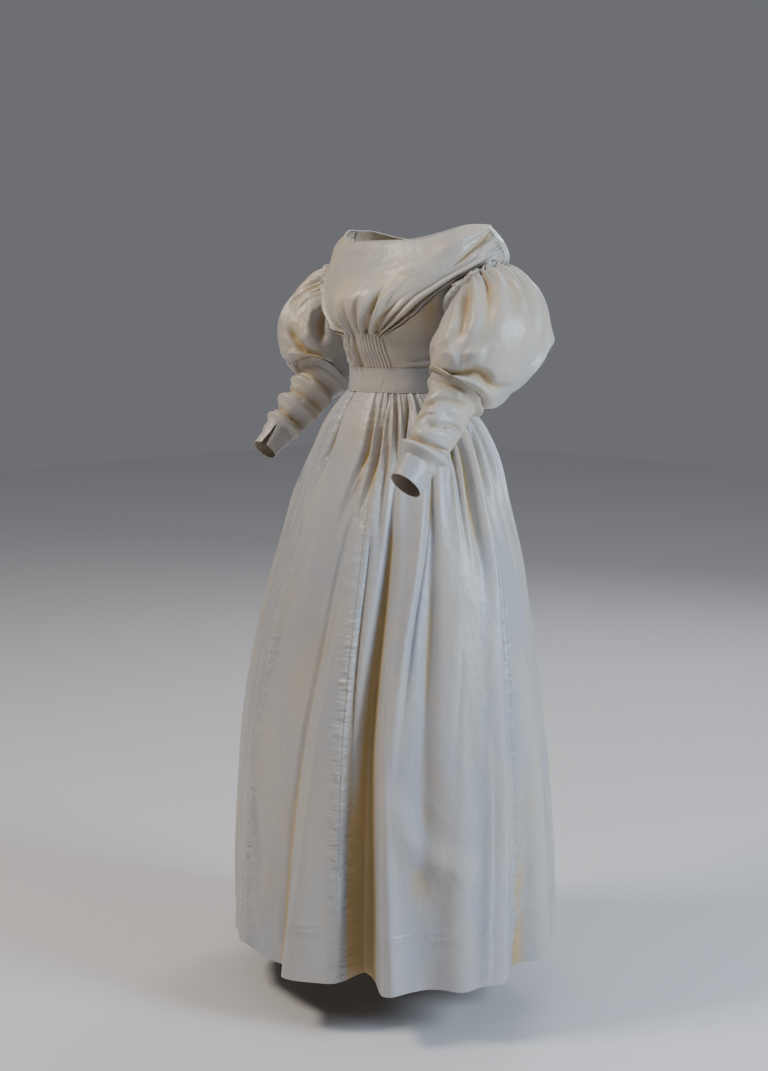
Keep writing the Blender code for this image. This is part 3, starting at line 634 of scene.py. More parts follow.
def fanRelief(chart, folds, gauged, seed):
    # How far each point of one half stands out from the bodice's form
    rows, columns = chart.shape[:2]
    u = np.linspace(0.0, 1.0, columns)[None, :]
    above = (np.arange(rows) - fan["gaugingRows"])[:, None] / fan["rows"]
    z = chart[..., 1]
    low = 1.0 - ease(above, -0.03, 0.10)
    gather = np.abs(np.cos(math.pi * fan["gathersEachHalf"] * u)) ** 0.6
    pinch = np.cos(math.pi * (z - bodice["waistTop"]) / fan["stitchPitch"]) ** 4
    out = gauged * fan["gatherHeight"] * (gather - 0.6) * (1.0 - 0.7 * pinch) * low

    wander = 0.40 * softNoise(u * 8.0, above * 7.0, seed + 9)
    fringe = np.abs(np.cos(math.pi * (fan["gathersEachHalf"] * u + wander))) ** 0.8 - 0.6
    height = 0.26 + 0.16 * softNoise(u * 11.0, 0.0, seed + 11)
    reach = (1.0 - ease(above, 0.02, height)) * ease(above, -0.03, 0.05)
    out = out + gauged * fan["fringeHeight"] * fringe * reach

    for start, end, wide0, wide1, push in fan["rolls"]:
        spread = ease(above, 0.0, 0.4)
        centre = start + (end - start) * spread
        sway = fan["rollSway"] * np.sin(7.0 * above + 30.0 * start + seed) * spread
        wide = wide0 + (wide1 - wide0) * spread
        strength = ease(above, -0.05, 0.12) * (1.0 - 0.35 * ease(above, 0.30, 0.60))
        strength = strength * (1.0 - ease(above, 0.66, 0.90))
        out = out + push * strength * np.exp(-(((u - centre - sway) / wide) ** 2))
    out = out * (1.0 - 0.85 * ease(u, 0.984, 1.0) * ease(above, -0.02, 0.04))
    out = out + wrinkles(chart[..., 0], z, folds, fan["meanReach"]) * (1.0 - ease(u, 0.90, 1.0))

    nearShoulder = ease(above, 1.0 - fan["shoulderReach"], 1.0)
    onShoulder = ease(u, fan["neckShare"] - 0.05, fan["neckShare"] + 0.06)
    turn = (u - fan["neckShare"]) / (1.0 - fan["neckShare"]) * fan["shoulderGathers"]
    turn = turn + 0.5 * softNoise(above * 6.0, u * 5.0, seed + 1)
    small = np.abs(np.cos(math.pi * turn)) ** 0.8 - 0.6
    out = out * (1.0 - 0.6 * nearShoulder * onShoulder)
    out = out + fan["shoulderHeight"] * small * nearShoulder * onShoulder
    uneven = fan["crumple"] * softNoise(u * 9.0, above * 5.0, seed)
    out = out + fan["fineCrumple"] * softNoise(u * 26.0, above * 22.0, seed + 4)
    return fan["above"] + out + uneven * ease(above, 0.0, 0.2)


def makeFan(finish):
    chart = fanChart()
    leftOut = fanRelief(chart, fan["leftFolds"], 1.0, 3)
    rightOut = fanRelief(chart, fan["rightFolds"], 0.8, 8)
    blend = ease(np.linspace(0.0, 1.0, chart.shape[1]), 0.0, 0.10)[None, :]
    middle = (leftOut[:, :1] + rightOut[:, :1]) / 2.0
    left = bodicePoint(chart[..., 0], chart[..., 1], middle + (leftOut - middle) * blend)
    right = mirrored(bodicePoint(chart[..., 0], chart[..., 1], middle + (rightOut - middle) * blend))
    points = np.concatenate([right[:, :-1], left], axis=1)
    # Painted shade from the folds' pushes, three times as strong in the gauging, and painted highlight on
    # their ridges
    sunk = np.concatenate([rightOut[:, :0:-1], leftOut], axis=1) * fan["paintedLightScale"]
    sunk[: fan["gaugingRows"]] *= 3.0
    sunk = np.clip(sunk, -0.8, 0.9)
    rows, columns = points.shape[:2]
    width, height = fan["size"]
    across = np.linspace(-width / 2, width / 2, columns)[None, :]
    up = np.linspace(0.0, height, rows)[:, None]
    cut = ((across + up) * 0.707, (up - across) * 0.707)  # cut on the bias
    return clothPiece("fanFront", setBack(points, bodice["seamGap"]), bodice["wall"], finish, cut, sunk=sunk)


# Side fronts, backs and waistband

closeParts = {
    "rows": 56,
    "columns": 64,
    "meanReach": 0.1,
    # Drag wrinkles: marks of azimuth and height, half width, push outward
    "frontDrags": (
        (((38, -0.244), (52, -0.243), (66, -0.24), (78, -0.236)), 0.003, 0.0026),
        (((44, -0.249), (60, -0.248), (84, -0.246)), 0.0022, -0.0018),
        (((31, -0.251), (42, -0.237), (51, -0.219), (56, -0.196)), 0.005, -0.0012),
        (((60, -0.224), (72, -0.214), (86, -0.205)), 0.005, 0.0012),
    ),
    "backDrags": (
        (((104, -0.244), (122, -0.242), (140, -0.238)), 0.0034, 0.0018),
        (((118, -0.16), (140, -0.145), (162, -0.115)), 0.008, 0.0018),
        (((112, -0.13), (132, -0.112), (150, -0.085)), 0.007, -0.0016),
        (((128, -0.215), (150, -0.206), (172, -0.19)), 0.006, 0.0014),
        (((150, -0.248), (164, -0.245), (176, -0.24)), 0.003, -0.0014),
        (((87, -0.014), (97, -0.019), (112, -0.018)), 0.0036, -0.0022),
        (((87, -0.026), (96, -0.031), (107, -0.033)), 0.0034, 0.0018),
        (((87, -0.036), (98, -0.042), (114, -0.047)), 0.0036, -0.0024),
        (((87, -0.05), (96, -0.054), (106, -0.06)), 0.0034, -0.002),
    ),
    # The back's curved seam: its azimuth at each height from the waist up
    "backSeam": ((-0.253, 158), (-0.18, 152), (-0.1, 134), (-0.066, 118)),
    "crumple": (0.0006, 0.0007),  # on the side fronts and the backs
    "bandWall": 0.0018,
    "bandWrinkles": 30,
    "bandWrinkleWidth": 0.0022,
    "bandWrinklePush": (0.0005, 0.0013),
    "bandCrumple": 0.001,
    "bandAbove": 0.0006,  # how far it stands off the bodice's form
    "bandEdges": (0.1, 0.9),  # shares of its height where it is stitched down
    "bandEdgeDip": 0.0005,
}


def makeSideFronts(finish):
    rows, columns = closeParts["rows"], closeParts["columns"]
    edge = list(fan["edge"])
    tip = np.array(edge[-1]) + 0.15 * (armhole(150.0) - np.array(edge[-1]))
    gauging = knots((fan["gaugingHalf"][0], bodice["waistTop"]), edge[0], 6)
    leftRim = along(np.concatenate([gauging, edge[1:], [tip]]), rows)
    seam = knots((bodice["sideSeamAzimuth"], bodice["waistTop"]), armhole(270.0), 8)
    rightRim = along(np.concatenate([seam, armhole(np.linspace(270.0, 176.0, 30))[1:]]), rows)
    u = np.linspace(0.0, 1.0, columns)[None, :, None]
    chart = leftRim[:, None] * (1.0 - u) + rightRim[:, None] * u
    pieces = []
    for name, seed in (("sideFrontLeft", 5), ("sideFrontRight", 6)):
        out = wrinkles(chart[..., 0], chart[..., 1], closeParts["frontDrags"], closeParts["meanReach"])
        out = out + closeParts["crumple"][0] * softNoise(chart[..., 0] / 9.0, chart[..., 1] / 0.02, seed)
        inside = ease(np.minimum(u[..., 0], 1.0 - u[..., 0]), 0.0, 0.06)
        points = setBack(bodicePoint(chart[..., 0], chart[..., 1], out * inside), 2 * bodice["seamGap"])
        if name == "sideFrontRight":
            points = mirrored(points)
        cut = (points[..., 0] * 0.9 + points[..., 1], points[..., 2])
        pieces.append(clothPiece(name, points, bodice["wall"], finish, cut))
    return pieces


def makeBacks(finish):
    rows, columns = closeParts["rows"] + 24, closeParts["columns"]
    side = knots((bodice["sideSeamAzimuth"], bodice["waistTop"]), armhole(-90.0), 8)
    side = np.concatenate([side, armhole(np.linspace(-90.0, 90.0, 40))[1:]])
    top = (bodice["shoulderAzimuth"], float(neckHeight(bodice["shoulderAzimuth"])))
    side = along(np.concatenate([side, knots(side[-1], top, 12)[1:]]), rows)
    neckBack = float(neckHeight(180.0))
    low, high = side[0, 1], side[-1, 1]
    share = ((side[:, 1] - low) / (high - low))[:, None]
    u = np.linspace(0.0, 1.0, columns)[None, :]
    azimuth = side[:, :1] + u * (180.0 - side[:, :1])
    middleZ = low + share * (neckBack - low)
    rim = neckHeight(top[0] + u * (180.0 - top[0])) - (high + u * (neckBack - high))
    z = side[:, 1:] + u * (middleZ - side[:, 1:]) + rim * share**3
    seamAway = (azimuth - np.interp(z, *zip(*closeParts["backSeam"]))) * bodice["metresPerDegree"]
    pieces = []
    for name, seed in (("backLeft", 15), ("backRight", 16)):
        inside = ease(np.minimum(2.5 * u, 1.0 - u), 0.0, 0.08)
        out = wrinkles(azimuth, z, closeParts["backDrags"], closeParts["meanReach"])
        out = out + puckers(seamAway, z, seed, 0.006, 0.011, 0.0004) * (1.0 - ease(z, -0.085, -0.066))
        out = out + closeParts["crumple"][1] * softNoise(azimuth / 10.0, z / 0.024, seed)
        points = setBack(bodicePoint(azimuth, z, out * inside), bodice["seamGap"])
        if name == "backRight":
            points = mirrored(points)
        cut = (points[..., 0] * 0.9 - points[..., 1], points[..., 2])
        pieces.append(clothPiece(name, points, bodice["wall"], finish, cut))
    return pieces


def makeWaistband(finish):
    low, high = bodice["waistBottom"], bodice["waistTop"]
    azimuth, z = np.meshgrid(np.linspace(-180.0, 180.0, 361), np.linspace(low, high, 17))
    share = (z - low) / (high - low)
    soft = closeParts["bandCrumple"] * softNoise(azimuth / 9.0, z / 0.016, 21)
    out = closeParts["bandAbove"] + soft * np.sin(math.pi * share)
    for edge in closeParts["bandEdges"]:
        out = out - closeParts["bandEdgeDip"] * np.exp(-((share - edge) / 0.035) ** 2)
    random = np.random.default_rng(22)
    across = azimuth * bodice["metresPerDegree"]
    for _ in range(closeParts["bandWrinkles"]):
        at = random.uniform(-175.0, 175.0)
        slant = random.uniform(-9.0, 9.0)
        start = (at * bodice["metresPerDegree"], low + random.uniform(0.004, 0.016))
        end = ((at + slant) * bodice["metresPerDegree"], high - random.uniform(0.004, 0.018))
        push = random.choice((-1.0, 1.0)) * random.uniform(*closeParts["bandWrinklePush"])
        out = out + wrinkle(across, z, (start, end), closeParts["bandWrinkleWidth"], push)
    points = setBack(bodicePoint(azimuth, z, out), bodice["seamGap"])
    return clothPiece("waistBand", points, closeParts["bandWall"], finish, (across, z))


# Sleeves

sleeve = {
    # Rings of the left balloon: x, y, z, half size fore and aft, half size outward, turn down, forward
    "balloon": (
        (0.178, 0.034, -0.118, 0.06, 0.058, 37, 0),
        (0.192, 0.028, -0.13, 0.078, 0.07, 46, 2),
        (0.206, 0.018, -0.148, 0.093, 0.082, 57, 4),
        (0.218, 0.007, -0.171, 0.104, 0.09, 68, 6),
        (0.226, -0.004, -0.197, 0.111, 0.094, 79, 8),
        (0.227, -0.017, -0.223, 0.108, 0.091, 88, 10),
        (0.223, -0.031, -0.247, 0.098, 0.082, 96, 14),
        (0.217, -0.045, -0.268, 0.084, 0.07, 101, 18),
        (0.21, -0.057, -0.282, 0.071, 0.06, 103, 25),
        (0.206, -0.064, -0.287, 0.06, 0.053, 100, 34),
        (0.203, -0.067, -0.288, 0.05, 0.046, 92, 42),
    ),
    "forearm": (
        (0.203, -0.067, -0.288, 0.0478, 0.0438, 92, 42),
        (0.206, -0.086, -0.311, 0.0455, 0.041, 92, 44),
        (0.21, -0.115, -0.343, 0.0435, 0.0385, 92, 45),
        (0.215, -0.148, -0.376, 0.039, 0.0345, 92, 45),
        (0.219, -0.182, -0.41, 0.0335, 0.03, 92, 45),
    ),
    "cuff": (
        (0.2192, -0.1824, -0.4104, 0.0345, 0.031, 92, 45),
        (0.223, -0.213, -0.441, 0.031, 0.0285, 92, 45),
    ),
    "rightElbow": (0.012, 0.056, 0.016),  # the right arm next to the left one mirrored
    "rightWrist": (0.002, 0.073, 0.028),
    "rightBalloon": 0.89,
    "rightForearm": 0.9,
    "rightCuff": 0.8,
    "rightSlit": 26,
    "closedSlit": 3,
    "slitMiddle": 215,
    "columns": 224,
    "rows": 136,
    "bridgeRows": 10,
    "bridgeBulge": 0.009,
    "frontFullness": (0.012, 200, 34),  # outward, and its angle and half width in degrees
    "smoothUnder": (208, 38),  # where no gathers show, and its half width in degrees
    "girth": 0.58,  # metres round the fullest place
    "length": 0.3,
    "edgeReach": 0.05,  # how far a wrinkle past the ring's ends still counts on its other side
    "gathers": 17,
    "gatherHeight": 0.0052,
    "deepFold": -0.019,  # the push that takes the full painted fold shade
    "crumple": (0.0024, 0.0009),  # broad and fine
    "rightReach": 0.55,  # of the right one's armhole folds beside the left one's
    "cuffWall": 0.0016,
    "cuffRows": 22,
    "cuffColumns": 110,
    "cuffSize": (0.2, 0.045),
    "cuffCrumple": 0.0007,
    "cuffEdges": (0.08, 0.92),
    "cuffEdgeDip": 0.0005,
    # Folds from the armhole seam: angle at the seam and at the end, share of the way they reach,
    # half width in degrees at both ends, push outward
    "armholeFolds": (
        (97, 101, 0.34, 2.6, 5, 0.005),
        (106, 108, 0.26, 2, 3.5, -0.005),
        (116, 122, 0.36, 3, 7.5, 0.006),
        (131, 141, 0.44, 3.6, 9, -0.013),
        (146, 153, 0.3, 2.6, 4.5, 0.006),
        (160, 165, 0.48, 3.6, 9, -0.015),
        (172, 178, 0.44, 2.6, 6, 0.006),
        (183, 186, 0.4, 3, 6, -0.004),
        (88, 88, 0.3, 2, 4, -0.0045),
        (76, 76, 0.42, 3, 6.5, 0.007),
        (64, 62, 0.44, 2.8, 6, -0.011),
        (50, 46, 0.48, 3.2, 7, 0.008),
        (36, 31, 0.38, 2.6, 5, -0.011),
        (22, 16, 0.46, 3, 7, 0.008),
        (6, 0, 0.42, 2.8, 6, -0.011),
        (350, 345, 0.4, 3, 6, 0.007),
    ),
    "elbowFolds": 19,
    "elbowReach": (0.07, 0.2),  # shares of the length
    "elbowPush": (0.003, 0.006),
    "ends": (0.3, 0.3),
    # Folds on each balloon: marks of angle and share, half width in metres, push and, where they
    # aren't 0 and the ends above, lean and ends
    "leftFolds": (
        (((226, 0.8), (200, 0.82), (174, 0.79), (151, 0.72), (135, 0.655), (118, 0.66),
          (101, 0.7), (84, 0.685), (62, 0.66)), 0.01, -0.018, 0.35, (0.3, 0.35)),
        (((226, 0.88), (198, 0.89), (168, 0.87), (142, 0.8), (116, 0.76), (92, 0.79),
          (66, 0.77)), 0.017, 0.015, 0, (0.3, 0.35)),
        (((176, 0.945), (140, 0.925), (108, 0.905), (80, 0.92)), 0.006, -0.007),
        (((104, 0.1), (97, 0.22), (90, 0.33), (82, 0.43)), 0.0036, -0.0042, 0, (0.2, 0.4)),
        (((110, 0.1), (103, 0.24), (97, 0.36)), 0.0036, 0.0034, 0, (0.2, 0.4)),
        (((40, 0.36), (47, 0.41), (56, 0.47), (62, 0.54), (64, 0.64)), 0.007, 0.008, 0.3, (0.3, 0.3)),
        (((52, 0.38), (60, 0.45), (70, 0.53), (76, 0.62)), 0.006, -0.006, 0, (0.3, 0.4)),
        (((176, 0.55), (164, 0.6), (152, 0.6)), 0.013, 0.009, 0, (0.35, 0.35)),
        (((152, 0.53), (142, 0.56), (128, 0.55)), 0.012, 0.008, 0, (0.35, 0.35)),
        (((200, 0.5), (214, 0.62), (222, 0.76)), 0.01, -0.007),
        (((20, 0.62), (40, 0.72), (44, 0.86)), 0.009, -0.008),
        (((0, 0.6), (18, 0.76), (24, 0.9)), 0.01, 0.008),
        (((330, 0.55), (338, 0.7), (352, 0.84)), 0.009, -0.008),
        (((296, 0.6), (304, 0.75), (300, 0.9)), 0.009, 0.007),
    ),
    "rightFolds": (
        (((180, 0.38), (190, 0.52), (203, 0.66), (222, 0.76), (244, 0.82)),
         0.011, -0.015, 0.3, (0.25, 0.35)),
        (((170, 0.64), (190, 0.75), (212, 0.83), (236, 0.88)), 0.015, 0.012, 0, (0.25, 0.35)),
        (((206, 0.02), (218, 0.24), (228, 0.42), (232, 0.58)), 0.009, -0.018, 0, (0.1, 0.4)),
        (((196, 0.1), (206, 0.26), (214, 0.44), (222, 0.6)), 0.01, 0.008, 0, (0.15, 0.35)),
        (((150, 0.16), (160, 0.3), (170, 0.46)), 0.009, 0.006, 0, (0.25, 0.35)),
        (((120, 0.62), (140, 0.74), (162, 0.82)), 0.009, -0.008),
        (((60, 0.6), (80, 0.72), (96, 0.86)), 0.009, 0.008),
        (((30, 0.58), (44, 0.74), (48, 0.88)), 0.009, -0.008),
        (((344, 0.6), (352, 0.76), (358, 0.9)), 0.009, 0.007),
    ),
}


def ringPoints(rings, share, angles):
    # Points of a sleeve's rings at shares along it; angle 0 is its back, 90 its outer side
    keys = np.linspace(0.0, 1.0, len(rings))
    x, y, z, halfFore, halfOut, down, forward = (smoothCurve(keys, values, share) for values in zip(*rings))
    down, forward = np.radians(down), np.radians(forward)
    nothing = 0.0 * down
    backWay = np.stack([nothing, np.cos(forward), -np.sin(forward)], axis=-1)
    dropWay = np.stack([nothing, -np.sin(forward), -np.cos(forward)], axis=-1)
    outWay = np.sin(down)[:, None] * np.array([1.0, 0.0, 0.0]) - np.cos(down)[:, None] * dropWay
    centre = np.stack([x, y, z], axis=-1)
    c = np.cos(np.radians(angles))[None, :, None]
    s = np.sin(np.radians(angles))[None, :, None]
    fore = c * halfFore[:, None, None] * backWay[:, None, :]
    outer = s * halfOut[:, None, None] * outWay[:, None, :]
    return centre[:, None, :], fore + outer


def armWrinkles(angle, down, folds, size):
    # A wrinkle that passes the ring's ends goes on at its other side
    perDegree = size["girth"] / 360.0
    out = 0.0 * angle
    for marks, width, push, *shape in folds:
        lean, ends = shape or (0.0, size["ends"])
        for turn in (-360.0, 0.0, 360.0):
            placed = [((at + turn) * perDegree, part * size["length"]) for at, part in marks]
            across = [at for at, _ in placed]
            if max(across) > -size["edgeReach"] and min(across) < size["girth"] + size["edgeReach"]:
                out = out + wrinkle(angle * perDegree, down * size["length"], placed, width, push, lean, ends)
    return out


def balloonRelief(angles, share, folds, armholeReach, seed):
    angle, down = np.meshgrid(angles, share)
    out = 0.0 * angle
    for start, end, reach, wide0, wide1, push in sleeve["armholeFolds"]:
        reach = reach * armholeReach
        marks = ((-0.30, start), (0.0, start), (reach * 0.6, (start + end) / 2), (reach, end))
        strengths = (0.0, push * 0.55, push, push * 0.5)
        out = out + foldLine(angle, down, marks, (wide0 * 0.7, wide0, wide1), strengths, 0.0, 0.08)
    uneven = 25.0 * softNoise(angle / 24.0, 0.0, seed)
    tiny = np.abs(np.cos(np.radians(angle * sleeve["gathers"] + uneven))) ** 0.8 - 0.6
    fade = 1.0 - ease(down, 0.02, 0.24 + 0.08 * softNoise(angle / 11.0, 0.0, seed + 5))
    underAt, underWide = sleeve["smoothUnder"]
    under = np.exp(-(((angle - underAt) / underWide) ** 2))
    out = out + sleeve["gatherHeight"] * tiny * fade
    out = out * (1.0 - under * (1.0 - ease(down, 0.10, 0.30)))
    random = np.random.default_rng(seed)
    for k in range(sleeve["elbowFolds"]):
        middle = 360.0 * (k + random.uniform(-0.25, 0.25)) / sleeve["elbowFolds"]
        long = random.uniform(*sleeve["elbowReach"])
        marks = ((1.0 - long, middle + random.uniform(-5.0, 5.0)), (1.02, middle))
        push = random.uniform(*sleeve["elbowPush"])
        out = out + foldLine(angle, down, marks, (6.0, 4.0), (push * 0.6, push), 0.0, 0.05)
    out = out + armWrinkles(angle, down, folds, sleeve)
    full, fullAt, fullWide = sleeve["frontFullness"]
    out = out + full * np.exp(-(((angle - fullAt) / fullWide) ** 2)) * (1.0 - ease(down, 0.02, 0.34))
    belly = ease(down, 0.15, 0.35) * (1.0 - ease(down, 0.85, 0.97))
    broad, fine = sleeve["crumple"]
    soft = broad * softNoise(angle / 30.0, down * 6.0, seed + 2)
    return out + (soft + fine * softNoise(angle / 9.0, down * 17.0, seed + 7)) * belly


def balloonPoints(size, folds, armholeReach, seed):
    angles = np.arange(sleeve["columns"]) * 360.0 / sleeve["columns"]
    share = np.linspace(0.0, 1.0, sleeve["rows"])
    centre, reach = ringPoints(sleeve["balloon"], share, angles)
    fullness = 1.0 + (size - 1.0) * np.sin(math.pi * share)[:, None]
    length = np.linalg.norm(reach, axis=-1)
    relief = balloonRelief(angles, share, folds, armholeReach, seed)
    body = centre + reach * (fullness + relief / length)[..., None]
    cuffCentre, cuffReach = ringPoints(sleeve["forearm"], np.array([0.0]), angles)
    inward = np.linspace(0.0, 1.0, 5)[1:, None, None]
    turnedIn = body[-1:] * (1.0 - inward) + (cuffCentre + cuffReach * 1.01) * inward
    body = np.concatenate([body, turnedIn])
    middle = np.array([bodice["armholeAzimuth"][0], bodice["armholeHeight"][0]])
    inside = middle + 0.966 * (armhole(angles) - middle)
    seam = bodicePoint(inside[:, 0], inside[:, 1])
    blend = np.linspace(0.0, 1.0, sleeve["bridgeRows"] + 2)[1:-1, None, None]
    outward = reach[0] / length[0][:, None]
    puffed = np.sin(math.pi * blend) * sleeve["bridgeBulge"] * outward[None]
    folded = (blend**2 - blend) * np.clip(relief[:1], -0.010, 0.006)[..., None] * -1.6
    puffed = puffed + folded * outward[None]
    bridge = seam[None] * (1.0 - blend) + body[:1] * blend + puffed
    # Painted shade in the balloon's folds and painted highlight on its ridges, from the relief
    sunk = np.zeros((len(bridge) + len(body) + 1, len(angles)))
    sunk[len(bridge) + 1 : len(bridge) + 1 + len(relief)] = np.clip(relief / sleeve["deepFold"], -0.6, 0.75)
    return np.concatenate([seam[None], bridge, body]), sunk


def ringCut(rows, columns, girth, length):
    return np.meshgrid(np.linspace(0.0, girth, columns + 1), np.linspace(0.0, length, rows))


def makeBalloons(finish):
    left, leftSunk = balloonPoints(1.0, sleeve["leftFolds"], 1.0, 31)
    right, rightSunk = balloonPoints(sleeve["rightBalloon"], sleeve["rightFolds"], sleeve["rightReach"], 32)
    bridge, turnedIn = sleeve["bridgeRows"] + 1, 4
    shift = np.concatenate([np.zeros(bridge), np.linspace(0.0, 1.0, sleeve["rows"]), np.ones(turnedIn)])
    shift = shift[:, None, None]
    right = right * np.array([-1.0, 1.0, 1.0]) + shift * np.array(sleeve["rightElbow"])
    cut = ringCut(len(left), sleeve["columns"], sleeve["girth"], sleeve["length"])
    return [
        clothPiece("balloonLeft", left[::-1, ::-1], bodice["wall"], finish, cut, True, leftSunk[::-1, ::-1]),
        clothPiece("balloonRight", right[::-1], bodice["wall"], finish, cut, True, rightSunk[::-1]),
    ]


forearm = {
    "columns": 120,
    "rows": 96,
    "girth": 0.26,
    "length": 0.17,
    "edgeReach": 0.03,
    "elbowSwell": 0.011,
    # deepFold is the push that takes the full painted fold shade
    "deepFold": -0.018,
    "crumple": 0.0014,
    "ends": (0.14, 0.14),
    # Rucks round the arm: marks of angle and share along, half width, push
    "left": (
        (((60, 0.1), (110, 0.16), (160, 0.28), (205, 0.36)), 0.01, 0.0036),
        (((84, 0.25), (140, 0.36), (190, 0.47), (220, 0.49)), 0.0044, -0.0056),
        (((110, 0.13), (150, 0.17), (205, 0.16)), 0.0034, -0.0036),
        (((56, 0.34), (110, 0.4), (150, 0.54), (190, 0.62)), 0.0105, 0.0044),
        (((150, 0.44), (190, 0.46), (228, 0.44)), 0.0032, -0.0032),
        (((40, 0.47), (90, 0.52), (130, 0.63), (166, 0.71)), 0.0042, -0.0062),
        (((146, 0.57), (180, 0.6), (222, 0.66)), 0.0034, -0.0046),
        (((170, 0.3), (196, 0.36), (226, 0.37)), 0.0034, -0.0036),
        (((70, 0.62), (110, 0.68), (160, 0.77), (216, 0.74)), 0.0085, 0.0046),
        (((90, 0.6), (120, 0.62)), 0.003, -0.003),
        (((50, 0.72), (105, 0.81), (160, 0.86), (225, 0.85)), 0.0044, -0.011),
        (((44, 0.82), (100, 0.9), (150, 0.935), (214, 0.92)), 0.0085, 0.015),
        (((230, 0.1), (300, 0.2), (380, 0.14)), 0.007, 0.005),
        (((226, 0.28), (290, 0.36), (386, 0.3)), 0.0045, -0.005),
        (((232, 0.42), (300, 0.5), (390, 0.44)), 0.007, 0.006),
        (((226, 0.6), (300, 0.66), (390, 0.58)), 0.0045, -0.0054),
        (((230, 0.76), (300, 0.8), (390, 0.74)), 0.007, 0.0062),
        (((226, 0.91), (300, 0.93), (390, 0.9)), 0.005, 0.005),
    ),
    "right": (
        (((100, 0.1), (170, 0.13), (250, 0.2), (330, 0.12)), 0.0085, 0.0056),
        (((90, 0.24), (160, 0.25), (240, 0.33), (320, 0.3)), 0.0046, -0.0062),
        (((100, 0.36), (170, 0.4), (250, 0.44), (330, 0.4)), 0.0085, 0.0084),
        (((150, 0.3), (190, 0.33), (230, 0.4)), 0.003, -0.0034),
        (((90, 0.5), (165, 0.55), (240, 0.57), (320, 0.52)), 0.0046, -0.007),
        (((100, 0.64), (170, 0.66), (250, 0.71), (330, 0.66)), 0.0082, 0.0092),
        (((170, 0.6), (210, 0.66), (240, 0.64)), 0.003, -0.003),
        (((90, 0.77), (165, 0.79), (240, 0.85), (320, 0.8)), 0.004, -0.009),
        (((100, 0.9), (170, 0.9), (250, 0.94), (330, 0.9)), 0.0062, 0.008),
        (((-30, 0.18), (30, 0.22), (96, 0.16)), 0.007, 0.005),
        (((-30, 0.36), (30, 0.42), (96, 0.34)), 0.0045, -0.005),
        (((-30, 0.52), (30, 0.58), (96, 0.52)), 0.007, 0.006),
        (((-30, 0.72), (30, 0.76), (96, 0.7)), 0.0045, -0.0054),
        (((-30, 0.88), (30, 0.89), (96, 0.86)), 0.006, 0.0054),
    ),
}


def forearmPoints(size, rucks, seed):
    angles = np.arange(forearm["columns"]) * 360.0 / forearm["columns"]
    share = np.linspace(0.0, 1.0, forearm["rows"])
    centre, reach = ringPoints(sleeve["forearm"], share, angles)
    angle, down = np.meshgrid(angles, share)
    out = armWrinkles(angle, down, rucks, forearm)
    out = out + forearm["crumple"] * softNoise(angle / 30.0, down * 12.0, seed)
    out = out * ease(down, 0.0, 0.05) * (1.0 - ease(down, 0.975, 1.0))
    lumpy = 1.0 + 0.35 * softNoise(angle / 22.0, 0.0, seed + 3)
    nearElbow = np.exp(-(((down - 0.06) / 0.06) ** 2)) * ease(down, 0.0, 0.03)
    swell = forearm["elbowSwell"] * lumpy * nearElbow
    fullness = (1.0 + (size - 1.0) * ease(share, 0.0, 0.3))[:, None]
    length = np.linalg.norm(reach, axis=-1)
    points = centre + reach * (fullness + (out + swell) / length)[..., None]
    # Painted shade in the rucks' valleys and painted highlight on their ridges
    return points, share, np.clip(out / forearm["deepFold"], -0.6, 0.6)


def makeForearms(finish):
    left, share, leftSunk = forearmPoints(1.0, forearm["left"], 41)
    right, share, rightSunk = forearmPoints(sleeve["rightForearm"], forearm["right"], 42)
    elbow = np.array(sleeve["rightElbow"])
    wrist = np.array(sleeve["rightWrist"])
    right = right * np.array([-1.0, 1.0, 1.0]) + elbow + share[:, None, None] * (wrist - elbow)
    cut = ringCut(len(left), forearm["columns"], forearm["girth"], forearm["length"])
    return [
        clothPiece("forearmLeft", left[::-1, ::-1], bodice["wall"], finish, cut, True, leftSunk[::-1, ::-1]),
        clothPiece("forearmRight", right[::-1], bodice["wall"], finish, cut, True, rightSunk[::-1]),
    ]


def makeCuffs(finish):
    # Each is a band with a slit, which is open toward the hand where the cuff is unfastened
    share = np.linspace(0.0, 1.0, sleeve["cuffRows"])
    columns = sleeve["cuffColumns"]
    cut = np.meshgrid(np.linspace(0.0, sleeve["cuffSize"][0], columns), share * sleeve["cuffSize"][1])
    closed, wrist = sleeve["closedSlit"], sleeve["rightForearm"]
    pieces = []
    sizes = (("cuffLeft", closed, 1.0), ("cuffRight", sleeve["rightSlit"], sleeve["rightCuff"]))
    for name, slit, size in sizes:
        grid = []
        for part in share:
            half = (closed + part * (slit - closed)) / 2.0
            angles = np.linspace(sleeve["slitMiddle"] + half, sleeve["slitMiddle"] + 360.0 - half, columns)
            centre, reach = ringPoints(sleeve["cuff"], np.array([part]), angles)
            narrow = size if name == "cuffLeft" else wrist + (size - wrist) * ease(part, 0.0, 0.5)
            length = np.linalg.norm(reach, axis=-1, keepdims=True)
            soft = sleeve["cuffCrumple"] * softNoise(angles / 24.0, part * 3.0, 51) * math.sin(math.pi * part)
            for edge in sleeve["cuffEdges"]:
                soft = soft - sleeve["cuffEdgeDip"] * math.exp(-((part - edge) / 0.03) ** 2)
            grid.append((centre + reach * narrow * (1.0 + soft[None, :, None] / length))[0])
        rows = np.array(grid)[::-1]
        if name == "cuffRight":
            rows = rows * np.array([-1.0, 1.0, 1.0]) + np.array(sleeve["rightWrist"])
        else:
            rows = rows[:, ::-1]
        pieces.append(clothPiece(name, rows, sleeve["cuffWall"], finish, cut))
    return pieces


# Skirt

